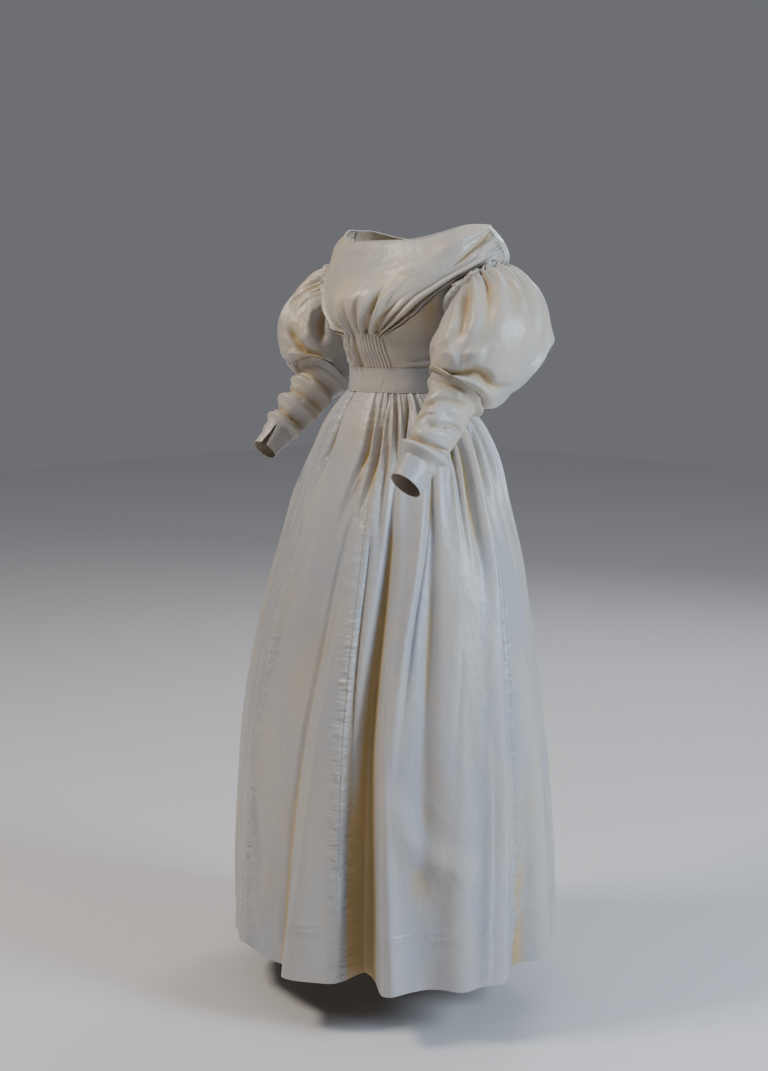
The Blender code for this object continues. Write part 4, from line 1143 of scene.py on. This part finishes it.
skirt = {
    "hem": -1.332,
    "widthRatio": 1.25,
    "levels": (  # height, mean reach and the middle's y
        (-1.332, 0.305, -0.022),
        (-1.2, 0.301, -0.022),
        (-1.1, 0.296, -0.022),
        (-1, 0.289, -0.022),
        (-0.9, 0.278, -0.022),
        (-0.8, 0.264, -0.016),
        (-0.7, 0.247, -0.008),
        (-0.6, 0.227, 0),
        (-0.5, 0.198, 0.004),
        (-0.4, 0.162, 0.011),
        (-0.35, 0.137, 0.008),
        (-0.31, 0.107, 0.003),
        (-0.298, 0.095, 0),
    ),
    "seams": (-90, -21, 21, 90, 180),
    "flatFrom": -24,
    "flatTo": 9,
    "gatherAzimuth": 9,
    "gatherHeight": (0.0025, 0.004),  # at the band, and what it grows by below
    "gatherReach": 0.31,  # share of the length by which the gathers have died away
    "fineGather": 0.0014,
    "hemLift": (0.014, 98, 30),
    "hemTurn": 0.1,
    "rows": 128,
    "stain": {"at": (0.2445, -0.166, -1.215), "radius": 0.004, "strength": 0.85},
    "crumple": (0.002, 0.0005),  # broad and fine
    "meanReach": 0.29,
    "girth": 2.6,  # round the cut cloth, for its weave
    "deepFold": -0.05,  # pushes that take the full painted fold shade
    "deepCrease": -0.012,
    # Large folds: start and end share of the length, azimuth and push outward at start, middle and
    # end, half width in degrees at both ends, lean
    "folds": (
        (0.15, 1, 19, 13, 5.5, 4, 8.5, 0.004, 0.016, 0.04, -0.5),
        (0.22, 1, 32.5, 27.5, 25.2, 2.6, 5.8, -0.012, -0.04, -0.062, -0.42),
        (0.3, 1, 37, 35.5, 37.5, 3, 5.5, 0.002, 0.014, 0.036, -0.3),
        (0.18, 0.8, 53, 51, 49.5, 3, 4, -0.006, -0.013, -0.008, 0),
        (0.7, 1, 46, 49, 51.5, 6.5, 9, -0.002, -0.006, -0.012, 0),
        (0.16, 0.62, 50, 43, 41, 2.5, 3, 0.005, 0.006, 0.003, 0.4),
        (0.4, 1, 62, 62.5, 61.5, 5, 6, 0.003, 0.006, 0.01, 0),
        (0.03, 0.3, 79, 78.3, 78.5, 2.5, 3, -0.01, -0.016, -0.006, 0),
        (0.04, 1, 86.5, 83.5, 78, 2.5, 5, 0.006, 0.008, 0.01, 0.4),
        (0.5, 1, 90, 91, 93, 4, 9, -0.004, -0.014, -0.034, 0),
        (0.45, 1, 102, 103, 105, 4, 7, 0.003, 0.008, 0.01, 0.3),
        (0.03, 0.24, 14.5, 13, 5, 2.5, 3, -0.008, -0.01, -0.003, 0),
        (0.03, 0.24, 24, 20, 16.5, 2.5, 3, -0.007, -0.008, -0.003, 0),
        (0.01, 0.2, -22, -19, -25, 3, 3, -0.008, -0.008, -0.003, 0),
        (0.35, 1, -30, -25, -27, 5, 8, 0.003, 0.008, 0.008, -0.4),
        (0.3, 1, -44, -49, -56, 5, 7, 0.004, -0.002, -0.03, 0),
        (0.15, 1, -60, -68, -74, 7, 7.5, 0.008, 0.022, 0.038, 0),
        (0.1, 1, -88, -92, -94, 4, 8, -0.006, -0.014, -0.024, 0),
        (0.2, 1, -108, -111, -113, 4, 8, 0.004, 0.012, 0.018, 0.3),
        (0.08, 1, -126, -129, -131, 4, 8, -0.008, -0.018, -0.028, 0),
        (0.22, 1, -146, -148, -149, 4, 8, 0.004, 0.01, 0.018, -0.3),
        (0.06, 1, -164, -165, -166, 4, 8, -0.008, -0.018, -0.028, 0),
        (0.12, 1, 120, 121, 121, 4, 7, -0.006, -0.014, -0.022, 0),
        (0.2, 1, 138, 137, 136, 4, 7, 0.004, 0.01, 0.014, -0.3),
        (0.06, 1, 152, 153, 153, 4, 8, -0.008, -0.018, -0.028, 0),
        (0.22, 1, 171, 170, 170, 4, 7, 0.004, 0.01, 0.016, 0.3),
    ),
    # Sharper creases: height and azimuth at each mark from the top down, half widths in degrees,
    # pushes outward, lean
    "creases": (
        (((-0.3, -24), (-0.337, -18.5), (-0.405, -20.5), (-0.451, -24.5)),
         (1.3, 1.6), (-0.004, -0.005, -0.002), 0.3),
        (((-0.3, -29.5), (-0.35, -26.5), (-0.47, -31)), (1.3, 1.8), (-0.005, -0.004, -0.001), 0.3),
        (((-0.3, -36), (-0.38, -34), (-0.52, -38)), (1.4, 2), (-0.005, -0.005, -0.001), 0.3),
        (((-0.3, 12), (-0.351, 14), (-0.393, 13.8), (-0.451, 9), (-0.511, 5.5)),
         (1.2, 2.2), (-0.003, -0.006, -0.001), 0.3),
        (((-0.3, 18.5), (-0.38, 17), (-0.47, 13.5)), (1, 1.6), (0.003, 0.004, 0.001), 0),
        (((-0.3, 26), (-0.348, 23.7), (-0.416, 20.5), (-0.476, 18.7), (-0.54, 16)),
         (1, 1.8), (-0.004, -0.006, -0.001), 0.3),
        (((-0.3, 34.3), (-0.403, 31.6), (-0.45, 30.5)), (0.8, 1.2), (-0.004, -0.004, -0.001), 0),
        (((-0.3, 30), (-0.39, 27.5), (-0.52, 27)), (1, 1.8), (0.003, 0.004, 0.001), 0),
        (((-0.3, 46), (-0.373, 39), (-0.47, 36)), (1, 1.6), (-0.007, -0.009, -0.003), 0.3),
        (((-0.3, 52), (-0.39, 46), (-0.5, 46)), (1.2, 2), (0.004, 0.004, 0.001), 0),
        (((-0.498, 12.6), (-0.618, 9.5), (-0.746, 8.1), (-0.893, 5.3), (-1.046, 2), (-1.315, -2)),
         (1, 1.5), (-0.002, -0.004, -0.003), 0),
        (((-0.5, 15.2), (-0.7, 10.6), (-0.893, 7.8), (-1.046, 4.6), (-1.33, 1.4)),
         (1.8, 2.6), (0.001, 0.004, 0.003), -0.4),
        (((-0.48, 53), (-0.534, 51), (-0.677, 45.5), (-0.844, 42.3), (-0.95, 41)),
         (0.8, 1.2), (-0.002, -0.004, -0.001), 0),
        (((-0.48, 51), (-0.6, 46.5), (-0.7, 42.8), (-0.95, 39)), (1.2, 2), (0.003, 0.004, 0.001), 0.4),
        (((-0.74, 65.5), (-0.87, 63), (-1, 61)), (1.2, 2.2), (-0.001, -0.002, -0.001), 0),
        (((-0.356, 89.3), (-0.406, 87.2), (-0.55, 88), (-0.74, 86), (-0.91, 84), (-1.1, 82.5)),
         (0.9, 1.4), (-0.004, -0.004, -0.001), 0),
        (((-0.357, 96), (-0.407, 92), (-0.47, 91)), (1, 1.6), (-0.005, -0.005, -0.001), 0),
        (((-0.32, 73), (-0.394, 71), (-0.428, 67), (-0.5, 66)), (1, 1.8), (-0.004, -0.006, -0.001), 0),
        (((-0.31, 60), (-0.38, 58.5), (-0.47, 57)), (1, 1.8), (-0.004, -0.005, -0.001), 0),
        (((-0.494, -17), (-0.6, -23), (-0.7, -28), (-0.818, -25.5), (-0.958, -24.5), (-1.1, -16.5),
          (-1.25, -14)),
         (1.3, 2), (-0.001, -0.004, -0.002), 0),
        (((-0.56, -33), (-0.7, -36), (-0.9, -38), (-1.15, -36)), (1.5, 2.4), (0.001, 0.003, 0.002), 0),
        (((-0.7, 37), (-0.86, 36), (-1.05, 37.5), (-1.33, 40)), (1, 1.4), (0.001, 0.003, 0.004), -0.3),
        (((-0.9, 76), (-1.1, 74), (-1.32, 71.5)), (1.4, 2), (0.001, 0.003, 0.003), 0.3),
    ),
    # The fold that draws in under the left seam of the front
    "underSeam": (((-0.54, 24), (-0.8, 23.3), (-1.1, 23), (-1.4, 23)),
                  (0.9, 1.6), (-0.004, -0.012, -0.012), -0.3),
    # Creases on the sides that the camera doesn't see: first azimuth and span, and the least and
    # most that each reaches down and pushes out
    "hiddenFolds": 22,
    "hiddenSpan": (104, 214),
    "hiddenReach": (0.16, 0.7),
    "hiddenPush": (0.002, 0.006),
    # Short wrinkles on the lower skirt: marks of azimuth and height, half width, push
    "wrinkles": (
        (((37, -0.95), (42, -1.03), (50, -1.085), (61, -1.11), (72, -1.105)), 0.026, 0.009),
        (((42, -1.11), (49, -1.155), (60, -1.175)), 0.034, -0.0026),
        (((49, -0.975), (54, -1.01), (60, -1.035)), 0.006, 0.0014),
        (((84, -1.16), (90, -1.11), (95, -1.06)), 0.014, 0.003),
        (((88, -1.21), (94, -1.17), (98, -1.13)), 0.01, -0.0016),
        (((86, -1.27), (92, -1.23), (97, -1.19)), 0.012, 0.002),
        (((9, -1.14), (14, -1.12), (19, -1.09)), 0.006, 0.0016),
        (((11, -0.93), (16, -0.905), (20, -0.88)), 0.006, 0.0016),
        (((-36, -1.12), (-31, -1.15), (-26, -1.17)), 0.007, 0.002),
    ),
}
waistBottom = bodice["waistBottom"]
skirtLength = waistBottom - skirt["hem"]


def skirtFolds(azimuth, share):
    push = np.zeros(np.broadcast(azimuth, share).shape)
    for start, end, az0, az1, az2, wide0, wide2, out0, out1, out2, lean in skirt["folds"]:
        f = np.clip((share - start) / (end - start), 0.0, 1.0)
        centre = smoothCurve([0.0, 0.5, 1.0], [az0, az1, az2], f)
        wide = wide0 + (wide2 - wide0) * f
        out = smoothCurve([0.0, 0.5, 1.0], [out0, out1, out2], f) * ease(share, start - 0.06, start + 0.04)
        if end < 1.0:
            out = out * (1.0 - ease(share, end - 0.06, end + 0.06))
        away = turnBetween(azimuth, centre)
        wide = wide * np.where(away < 0.0, 1.0 + lean, 1.0 - lean)
        push = push + out * np.exp(-((away / wide) ** 2))
    return push


def skirtGathers(azimuth, share):
    fromFlat = np.where(azimuth > skirt["flatTo"], azimuth - skirt["flatTo"], skirt["flatFrom"] - azimuth)
    beyond = ease(fromFlat, 0.0, skirt["gatherAzimuth"])
    atBand, growth = skirt["gatherHeight"]
    swell = atBand + growth * ease(share, 0.0, 0.06)
    uneven = fromFlat + 5.0 * softNoise(azimuth / 13.0, 0.0, 61)
    swell = swell * (0.75 + 0.55 * softNoise(azimuth / 9.0, 0.0, 68))
    turn = 2.0 * math.pi * uneven / skirt["gatherAzimuth"]
    gather = swell * (1.0 - ease(share, 0.08, skirt["gatherReach"])) * np.cos(turn)
    fineReach = 1.0 - ease(share, 0.02, 0.11 + 0.04 * softNoise(azimuth / 3.0, 0.0, 62))
    fine = skirt["fineGather"] * fineReach * (np.abs(np.cos(turn * 1.5 + 0.7)) - 0.6)
    return beyond * (fine - gather)


def skirtCreases(azimuth, z):
    out = 0.0 * azimuth
    for marks, wide, push, lean in skirt["creases"] + (skirt["underSeam"],):
        below = tuple((-height, at) for height, at in marks)
        out = out + foldLine(azimuth, -z, below, wide, push, lean, 0.03)
    first, span = skirt["hiddenSpan"]
    random = np.random.default_rng(63)
    for k in range(skirt["hiddenFolds"]):
        start = first + span * (k + random.uniform(-0.3, 0.3)) / skirt["hiddenFolds"]
        top = random.choice((-0.300, -0.300, -0.340, -0.450))
        end = top - random.uniform(*skirt["hiddenReach"])
        drift = random.uniform(-4.0, 4.0)
        push = random.choice((-1.0, -1.0, 1.0)) * random.uniform(*skirt["hiddenPush"])
        marks = ((-top, start), (-(top + end) / 2, start + drift * 0.4), (-end, start + drift))
        pushes = (push * 0.7, push, push * 0.2)
        lean = random.uniform(-0.3, 0.3)
        out = out + foldLine(azimuth, -z, marks, (1.1, 2.2), pushes, lean, 0.03)
    return out


def skirtDrawn(azimuth, share):
    # 1 along the puckered seams and the hem's stitching, 0 away from them
    z = waistBottom - share * skirtLength
    pull = 0.55 * np.exp(-(((z - skirt["hem"] - skirt["hemTurn"]) / 0.010) ** 2))
    reach = math.radians(1.0) * skirt["meanReach"] * ease(share, -0.1, 0.6)
    strength = 0.30 + 0.70 * ease(share, 0.30, 0.50)
    for seam in skirt["seams"]:
        away = turnBetween(azimuth, seam) * reach
        pull = np.maximum(pull, strength * np.exp(-((away / 0.015) ** 2)))
    return pull


def skirtSurface(azimuth, share):
    levels, reach, centreY = zip(*skirt["levels"])
    z = waistBottom - share * skirtLength
    ratio = skirt["widthRatio"]
    halfX = smoothCurve(levels, reach, z) * math.sqrt(2.0) * ratio / math.hypot(1.0, ratio)
    lift, liftAt, liftWide = skirt["hemLift"]
    raised = lift * np.exp(-(((azimuth - liftAt) / liftWide) ** 2)) * share**2
    wave = 0.0018 * softNoise(azimuth / 7.0, 0.0, 64) * ease(share, 0.9, 1.0)
    out = skirtFolds(azimuth, share) + skirtGathers(azimuth, share)
    out = out + skirtCreases(azimuth, z) + wrinkles(azimuth, z, skirt["wrinkles"], skirt["meanReach"])
    broad, fine = skirt["crumple"]
    out = out + broad * softNoise(azimuth / 8.0, share * 7.0, 65) * ease(share, 0.1, 0.3)
    out = out + fine * softNoise(azimuth / 3.6, share * 11.0, 66) * ease(share, 0.05, 0.15)
    arc = np.radians(1.0) * halfX
    strong = 0.40 + 1.25 * ease(share, 0.30, 0.50)
    for k, seam in enumerate(skirt["seams"]):
        away = turnBetween(azimuth, seam) * arc
        out = out + strong * puckers(away, z, 70 + k)
    hemAway = z - (skirt["hem"] + skirt["hemTurn"])
    ripple = np.cos(2.0 * math.pi * (azimuth * arc / 0.016 + 0.8 * softNoise(azimuth / 2.5, 0.0, 67)))
    out = out + (0.00045 * ripple - 0.0007) * np.exp(-((hemAway / 0.005) ** 2))
    out = out + 0.0006 * (1.0 - ease(hemAway, -0.004, 0.0))
    middleY = smoothCurve(levels, centreY, z)
    return ovalPoint(azimuth, halfX, halfX / ratio, middleY, z + raised + wave, out)


skirtCut = 1.04  # length of each width of silk
skirtWidths = (  # piece, its node, first and last azimuth, columns, flat width
    ("skirtFront", "skirt_front", -21.0, 21.0, 120, 0.30),
    ("skirtSideLeft", "skirt_side_l", 21.0, 90.0, 196, 0.49),
    ("skirtBackLeft", "skirt_back_l", 90.0, 180.0, 124, 0.54),
    ("skirtBackRight", "skirt_back_r", -180.0, -90.0, 120, 0.54),
    ("skirtSideRight", "skirt_side_r", -90.0, -21.0, 130, 0.45),
)


def makeSkirt(finish):
    share = np.linspace(1.0, 0.0, skirt["rows"])
    share = 0.55 * share + 0.45 * share**2  # closer rows by the waist
    pieces = []
    for name, _, start, end, columns, _ in skirtWidths:
        margin = (end - start) / columns
        azimuth, down = np.meshgrid(np.linspace(start - margin, end + margin, columns + 3), share)
        points = setBack(skirtSurface(azimuth, down)[:, 1:-1], bodice["seamGap"])
        azimuth, down = azimuth[:, 1:-1], down[:, 1:-1]
        # Painted shade in the folds and creases and painted highlight on their ridges, from their pushes
        folds = 1.35 * (skirtFolds(azimuth, down) / skirt["deepFold"] - 0.22)
        fine = skirtCreases(azimuth, waistBottom - down * skirtLength) + skirtGathers(azimuth, down)
        sunk = np.clip(folds, -0.5, 1.0) + np.clip(fine / skirt["deepCrease"], -0.5, 0.8)
        cut = (azimuth / 360.0 * skirt["girth"], down * skirtLength)
        drawn = skirtDrawn(azimuth, down)
        pieces.append(clothPiece(name, points, bodice["wall"], finish, cut, sunk=sunk, drawn=drawn))
    return pieces


# Stitches, set along a path by Geometry Nodes

def stitchTree():
    tree = bpy.data.node_groups.new("stitchLine", "GeometryNodeTree")
    kinds = (("Geometry", "Geometry"), ("Spacing", "Float"), ("Length", "Float"), ("Thickness", "Float"))
    for label, kind in kinds + (("Thread", "Material"),):
        tree.interface.new_socket(label, in_out="INPUT", socket_type="NodeSocket" + kind)
    tree.interface.new_socket("Geometry", in_out="OUTPUT", socket_type="NodeSocketGeometry")
    kinds = {
        "given": "NodeGroupInput",
        "curve": "GeometryNodeMeshToCurve",
        "evenly": "GeometryNodeResampleCurve",
        "tangent": "GeometryNodeInputTangent",
        "turn": "FunctionNodeAlignRotationToVector",
        "stitch": "GeometryNodeMeshUVSphere",
        "size": "ShaderNodeCombineXYZ",
        "place": "GeometryNodeInstanceOnPoints",
        "smooth": "GeometryNodeSetShadeSmooth",
        "real": "GeometryNodeRealizeInstances",
        "paint": "GeometryNodeSetMaterial",
        "result": "NodeGroupOutput",
    }
    nodes = {label: tree.nodes.new(kind) for label, kind in kinds.items()}
    nodes["evenly"].mode = "LENGTH"
    nodes["turn"].axis = "Z"
    for socket, value in (("Segments", 5), ("Rings", 3), ("Radius", 0.5)):
        nodes["stitch"].inputs[socket].default_value = value
    for start, output, end, socket in (
        ("given", "Geometry", "curve", "Mesh"),
        ("curve", "Curve", "evenly", "Curve"),
        ("given", "Spacing", "evenly", "Length"),
        ("tangent", "Tangent", "turn", "Vector"),
        ("given", "Thickness", "size", "X"),
        ("given", "Thickness", "size", "Y"),
        ("given", "Length", "size", "Z"),
        ("evenly", "Curve", "place", "Points"),
        ("stitch", "Mesh", "place", "Instance"),
        ("turn", "Rotation", "place", "Rotation"),
        ("size", "Vector", "place", "Scale"),
        ("place", "Instances", "smooth", "Geometry"),
        ("smooth", "Geometry", "real", "Geometry"),
        ("real", "Geometry", "paint", "Geometry"),
        ("given", "Thread", "paint", "Material"),
        ("paint", "Geometry", "result", "Geometry"),
    ):
        tree.links.new(nodes[start].outputs[output], nodes[end].inputs[socket])
    return tree


def stitchLines(name, tree, paths, finish, spacing, length, thickness):
    # Every path is a row of points; all rows become one piece
    points, edges = [], []
    for path in paths:
        edges += [(len(points) + k, len(points) + k + 1) for k in range(len(path) - 1)]
        points += [tuple(point) for point in path]
    mesh = bpy.data.meshes.new(name)
    mesh.from_pydata(points, edges, [])
    guide = inScene(name + "Guide", mesh)
    modifier = guide.modifiers.new("stitches", "NODES")
    modifier.node_group = tree
    wanted = {"Spacing": spacing, "Length": length, "Thickness": thickness, "Thread": finish}
    for item in tree.interface.items_tree:
        if item.in_out == "INPUT" and item.name in wanted:
            modifier[item.identifier] = wanted[item.name]
    graph = bpy.context.evaluated_depsgraph_get()
    done = bpy.data.meshes.new_from_object(guide.evaluated_get(graph))
    bpy.data.objects.remove(guide, do_unlink=True)
    return inScene(name, done)


trim = {
    "pipingRadius": 0.0012,
    "pipingOut": 0.0012,
    "neckPipingOut": 0.0006,
    "threadColour": (0.62, 0.53, 0.40, 1.0),
    "stitchSpacing": 0.0045,
    "stitchLength": 0.0026,
    "stitchThickness": 0.0005,
    "gaugingSpacing": 0.0036,
    "gaugingLength": 0.0018,
    "bandEdge": 0.0045,  # from the band's edge to its stitches
    "bandOut": 0.0008,
    "besideSeam": 0.5,  # degrees from the skirt's seams to their stitches
    "fineStitch": 0.8,  # their size beside the hem's
}


def makePiping(finish):
    pieces = []
    azimuth = np.linspace(-180.0, 180.0, 361)[:-1]
    neck = bodicePoint(azimuth, neckHeight(azimuth), trim["neckPipingOut"])
    pieces.append(tube("neckPiping", neck, trim["pipingRadius"], finish, closed=True))
    top = (bodice["shoulderAzimuth"], float(neckHeight(bodice["shoulderAzimuth"])))
    for side, sign in (("Left", 1), ("Right", -1)):
        flip = np.array([sign, 1.0, 1.0])
        ring = armhole(np.arange(0.0, 360.0, 3.0))
        hole = bodicePoint(ring[:, 0], ring[:, 1], trim["pipingOut"]) * flip
        seam = knots(top, armhole(90.0), 30)
        shoulder = bodicePoint(seam[:, 0], seam[:, 1], trim["pipingOut"]) * flip
        order = slice(None, None, sign)
        pieces.append(tube("armholePiping" + side, hole[order], trim["pipingRadius"], finish, closed=True))
        pieces.append(tube("shoulderPiping" + side, shoulder[order], trim["pipingRadius"], finish))
    return pieces


def makeStitches(finish):
    tree = stitchTree()
    spacing, length, thick = trim["stitchSpacing"], trim["stitchLength"], trim["stitchThickness"]
    pieces = []
    azimuth = np.linspace(-180.0, 180.0, 1201)
    turnShare = 1.0 - skirt["hemTurn"] / skirtLength
    hem = skirtSurface(azimuth, np.full(len(azimuth), turnShare))
    pieces.append(stitchLines("hemStitches", tree, [hem], finish, spacing, length, thick))
    share = np.linspace(0.02, 0.998, 500)
    seams = []
    for seam in skirt["seams"]:
        seams.append(skirtSurface(np.full(len(share), seam + trim["besideSeam"]), share))
    small = trim["fineStitch"]
    sizes = (spacing, length * small, thick * small)
    pieces.append(stitchLines("skirtSeamStitches", tree, seams, finish, *sizes))
    rows = []
    z = bodice["waistTop"] + fan["stitchPitch"]
    while z < fan["gaugingTop"][0] - 0.004:
        half = np.interp(z, (bodice["waistTop"], fan["gaugingTop"][1]), fan["gaugingHalf"])
        across = np.linspace(-half, half, 240)
        u = np.abs(across) / half
        gather = np.abs(np.cos(math.pi * fan["gathersEachHalf"] * u)) ** 0.6
        out = 0.0009 + fan["gatherHeight"] * (gather - 0.6) * 0.6
        rows.append(bodicePoint(across, z, out))
        z += fan["stitchPitch"]
    gaugingSizes = (trim["gaugingSpacing"], trim["gaugingLength"], thick)
    pieces.append(stitchLines("gaugingStitches", tree, rows, finish, *gaugingSizes))
    bands = []
    around = np.linspace(-178.0, 178.0, 700)
    for height in (bodice["waistBottom"] + trim["bandEdge"], bodice["waistTop"] - trim["bandEdge"]):
        bands.append(bodicePoint(around, height, trim["bandOut"]))
    pieces.append(stitchLines("bandStitches", tree, bands, finish, spacing, length * 0.7, thick * small))
    return pieces


# Making the pieces, attaching them to the root and hiding the model's own parts

bodiceSilk = silk("bodiceSilk")
# The side fronts' extra warmth is painted shade: they lie in the balloons' shadow, so more of the yellowed
# tone is painted on them
sideSilkPaintedShade = silk("sideSilkPaintedShade", warmth=0.50)
bandSilk = silk("bandSilk", grey=0.40)
sleeveSilk = silk("sleeveSilk", grey=0.12)
# The skirt's paintedShadeStrength of 0.88 gives its folds the strongest painted shade
skirtSilk = silk("skirtSilk", warmth=-0.14, grey=0.52, paintedShadeStrength=0.88, stain=skirt["stain"])
thread = threadFinish("sewingThread", trim["threadColour"])

print("bodice")
fanFront = makeFan(bodiceSilk)
sideFronts = makeSideFronts(sideSilkPaintedShade)
backs = makeBacks(bodiceSilk)
waistBand = makeWaistband(bandSilk)
print("sleeves")
balloons = makeBalloons(sleeveSilk)
forearms = makeForearms(sleeveSilk)
cuffs = makeCuffs(bandSilk)
print("skirt")
skirtPanels = makeSkirt(skirtSilk)
print("trim")
piping = makePiping(bodiceSilk)
stitches = makeStitches(thread)

cloths = [  # piece, node, slot, flat width and length, flat area, held, what it hangs from
    (fanFront, "fan_front", "bodice_silk", (0.50, 0.36), 0.12, "gathered", ["waistBand"]),
    (sideFronts[0], "side_front_l", "side_silk", (0.16, 0.16), 0.016, "stretched", ["waistBand"]),
    (sideFronts[1], "side_front_r", "side_silk", (0.16, 0.16), 0.016, "stretched", ["waistBand"]),
    (backs[0], "back_l", "bodice_silk", (0.22, 0.27), 0.046, "stretched", ["waistBand"]),
    (backs[1], "back_r", "bodice_silk", (0.22, 0.27), 0.046, "stretched", ["waistBand"]),
    (waistBand, "waistband", "band_silk", (0.60, 0.048), None, "stretched", []),
    (balloons[0], "sleeve_balloon_l", "sleeve_silk", (0.62, 0.34), 0.165, "gathered", ["backLeft"]),
    (balloons[1], "sleeve_balloon_r", "sleeve_silk", (0.62, 0.34), 0.165, "gathered", ["backRight"]),
    (forearms[0], "sleeve_forearm_l", "sleeve_silk", (0.28, 0.19), 0.050, "gathered", ["balloonLeft"]),
    (forearms[1], "sleeve_forearm_r", "sleeve_silk", (0.28, 0.19), 0.050, "gathered", ["balloonRight"]),
    (cuffs[0], "cuff_l", "band_silk", (0.21, 0.045), None, "folded", ["forearmLeft"]),
    (cuffs[1], "cuff_r", "band_silk", (0.19, 0.045), None, "folded", ["forearmRight"]),
]
for panel, (_, node, _, _, _, width) in zip(skirtPanels, skirtWidths):
    cloths.append((panel, node, "skirt_silk", (width, skirtCut), None, "gathered", ["waistBand"]))

for piece, node, slotName, flat, area, held, restsOn in cloths:
    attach(piece, "root")
    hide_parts(node)
for piece in piping:
    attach(piece, "root")
for piece in stitches:
    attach(piece, "root")


# Floor, lights and camera

stage = {
    "floorHeight": -1.4285,
    "floorSize": 18.0,
    "floorColour": (0.70, 0.69, 0.71, 1.0),
    "floorRoughness": 0.8,
    "worldColour": (0.87, 0.89, 0.97, 1.0),
    "worldLight": 0.07,
    "worldSeen": 0.178,  # what the camera sees of it, near the lit floor's grey
    "cameraAt": (2.122, -2.163, -0.1415),
    "cameraAzimuth": 45.0,
    "cameraPitch": 8.04,
    "focalPixels": 1630.0,
    "longSidePixels": 1071.0,
    "sensorWidth": 36.0,
    "lights": (  # name, place, what it faces, size, watts, colour
        ("keyLight", (-1.3, -2.3, 2.3), (0.0, 0.0, -0.2), (0.9, 0.9), 112.0, (1.0, 0.89, 0.75)),
        ("sideLight", (3.1, 0.75, 0.6), (0.0, 0.0, -0.5), (1.1, 1.3), 122.0, (0.72, 0.85, 1.0)),
        ("topLight", (0.0, 0.0, 20.0), (0.0, 0.0, 0.0), (40.0, 40.0), 1650.0, (0.92, 0.95, 1.0)),
        ("backLight", (-1.2, 3.2, 1.4), (0.0, 0.0, -0.6), (1.6, 1.6), 42.0, (0.88, 0.94, 1.0)),
    ),
}


def makeFloor():
    half = stage["floorSize"] / 2
    corners = [(-half, -half), (half, -half), (half, half), (-half, half)]
    mesh = bpy.data.meshes.new("floor")
    mesh.from_pydata([(x, y, stage["floorHeight"]) for x, y in corners], [], [(0, 1, 2, 3)])
    finish = Finish("floorFinish")
    finish.shader.inputs["Base Color"].default_value = stage["floorColour"]
    finish.shader.inputs["Roughness"].default_value = stage["floorRoughness"]
    mesh.materials.append(finish.material)
    inScene("floor", mesh)


def makeWorld():
    world = bpy.data.worlds.new("studio")
    world.use_nodes = True
    nodes, links = world.node_tree.nodes, world.node_tree.links
    background = nodes["Background"]
    background.inputs["Color"].default_value = stage["worldColour"]
    ray = nodes.new("ShaderNodeLightPath")
    strength = nodes.new("ShaderNodeMapRange")
    strength.inputs["To Min"].default_value = stage["worldLight"]
    strength.inputs["To Max"].default_value = stage["worldSeen"]
    links.new(ray.outputs["Is Camera Ray"], strength.inputs["Value"])
    links.new(strength.outputs["Result"], background.inputs["Strength"])
    bpy.context.scene.world = world


def makeLight(name, place, target, size, power, colour):
    data = bpy.data.lights.new(name, "AREA")
    data.shape = "RECTANGLE"
    data.size, data.size_y = size
    data.energy = power
    data.color = colour
    light = inScene(name, data)
    light.location = place
    light.rotation_euler = (Vector(target) - Vector(place)).to_track_quat("-Z", "Y").to_euler()


def makeCamera():
    data = bpy.data.cameras.new("camera")
    data.sensor_width = stage["sensorWidth"]
    data.lens = stage["focalPixels"] / stage["longSidePixels"] * stage["sensorWidth"]
    camera = inScene("camera", data)
    camera.location = stage["cameraAt"]
    turn = math.radians(stage["cameraAzimuth"])
    camera.rotation_euler = (math.radians(90.0 - stage["cameraPitch"]), 0.0, turn)
    bpy.context.scene.camera = camera


makeFloor()
makeWorld()
for row in stage["lights"]:
    makeLight(*row)
makeCamera()
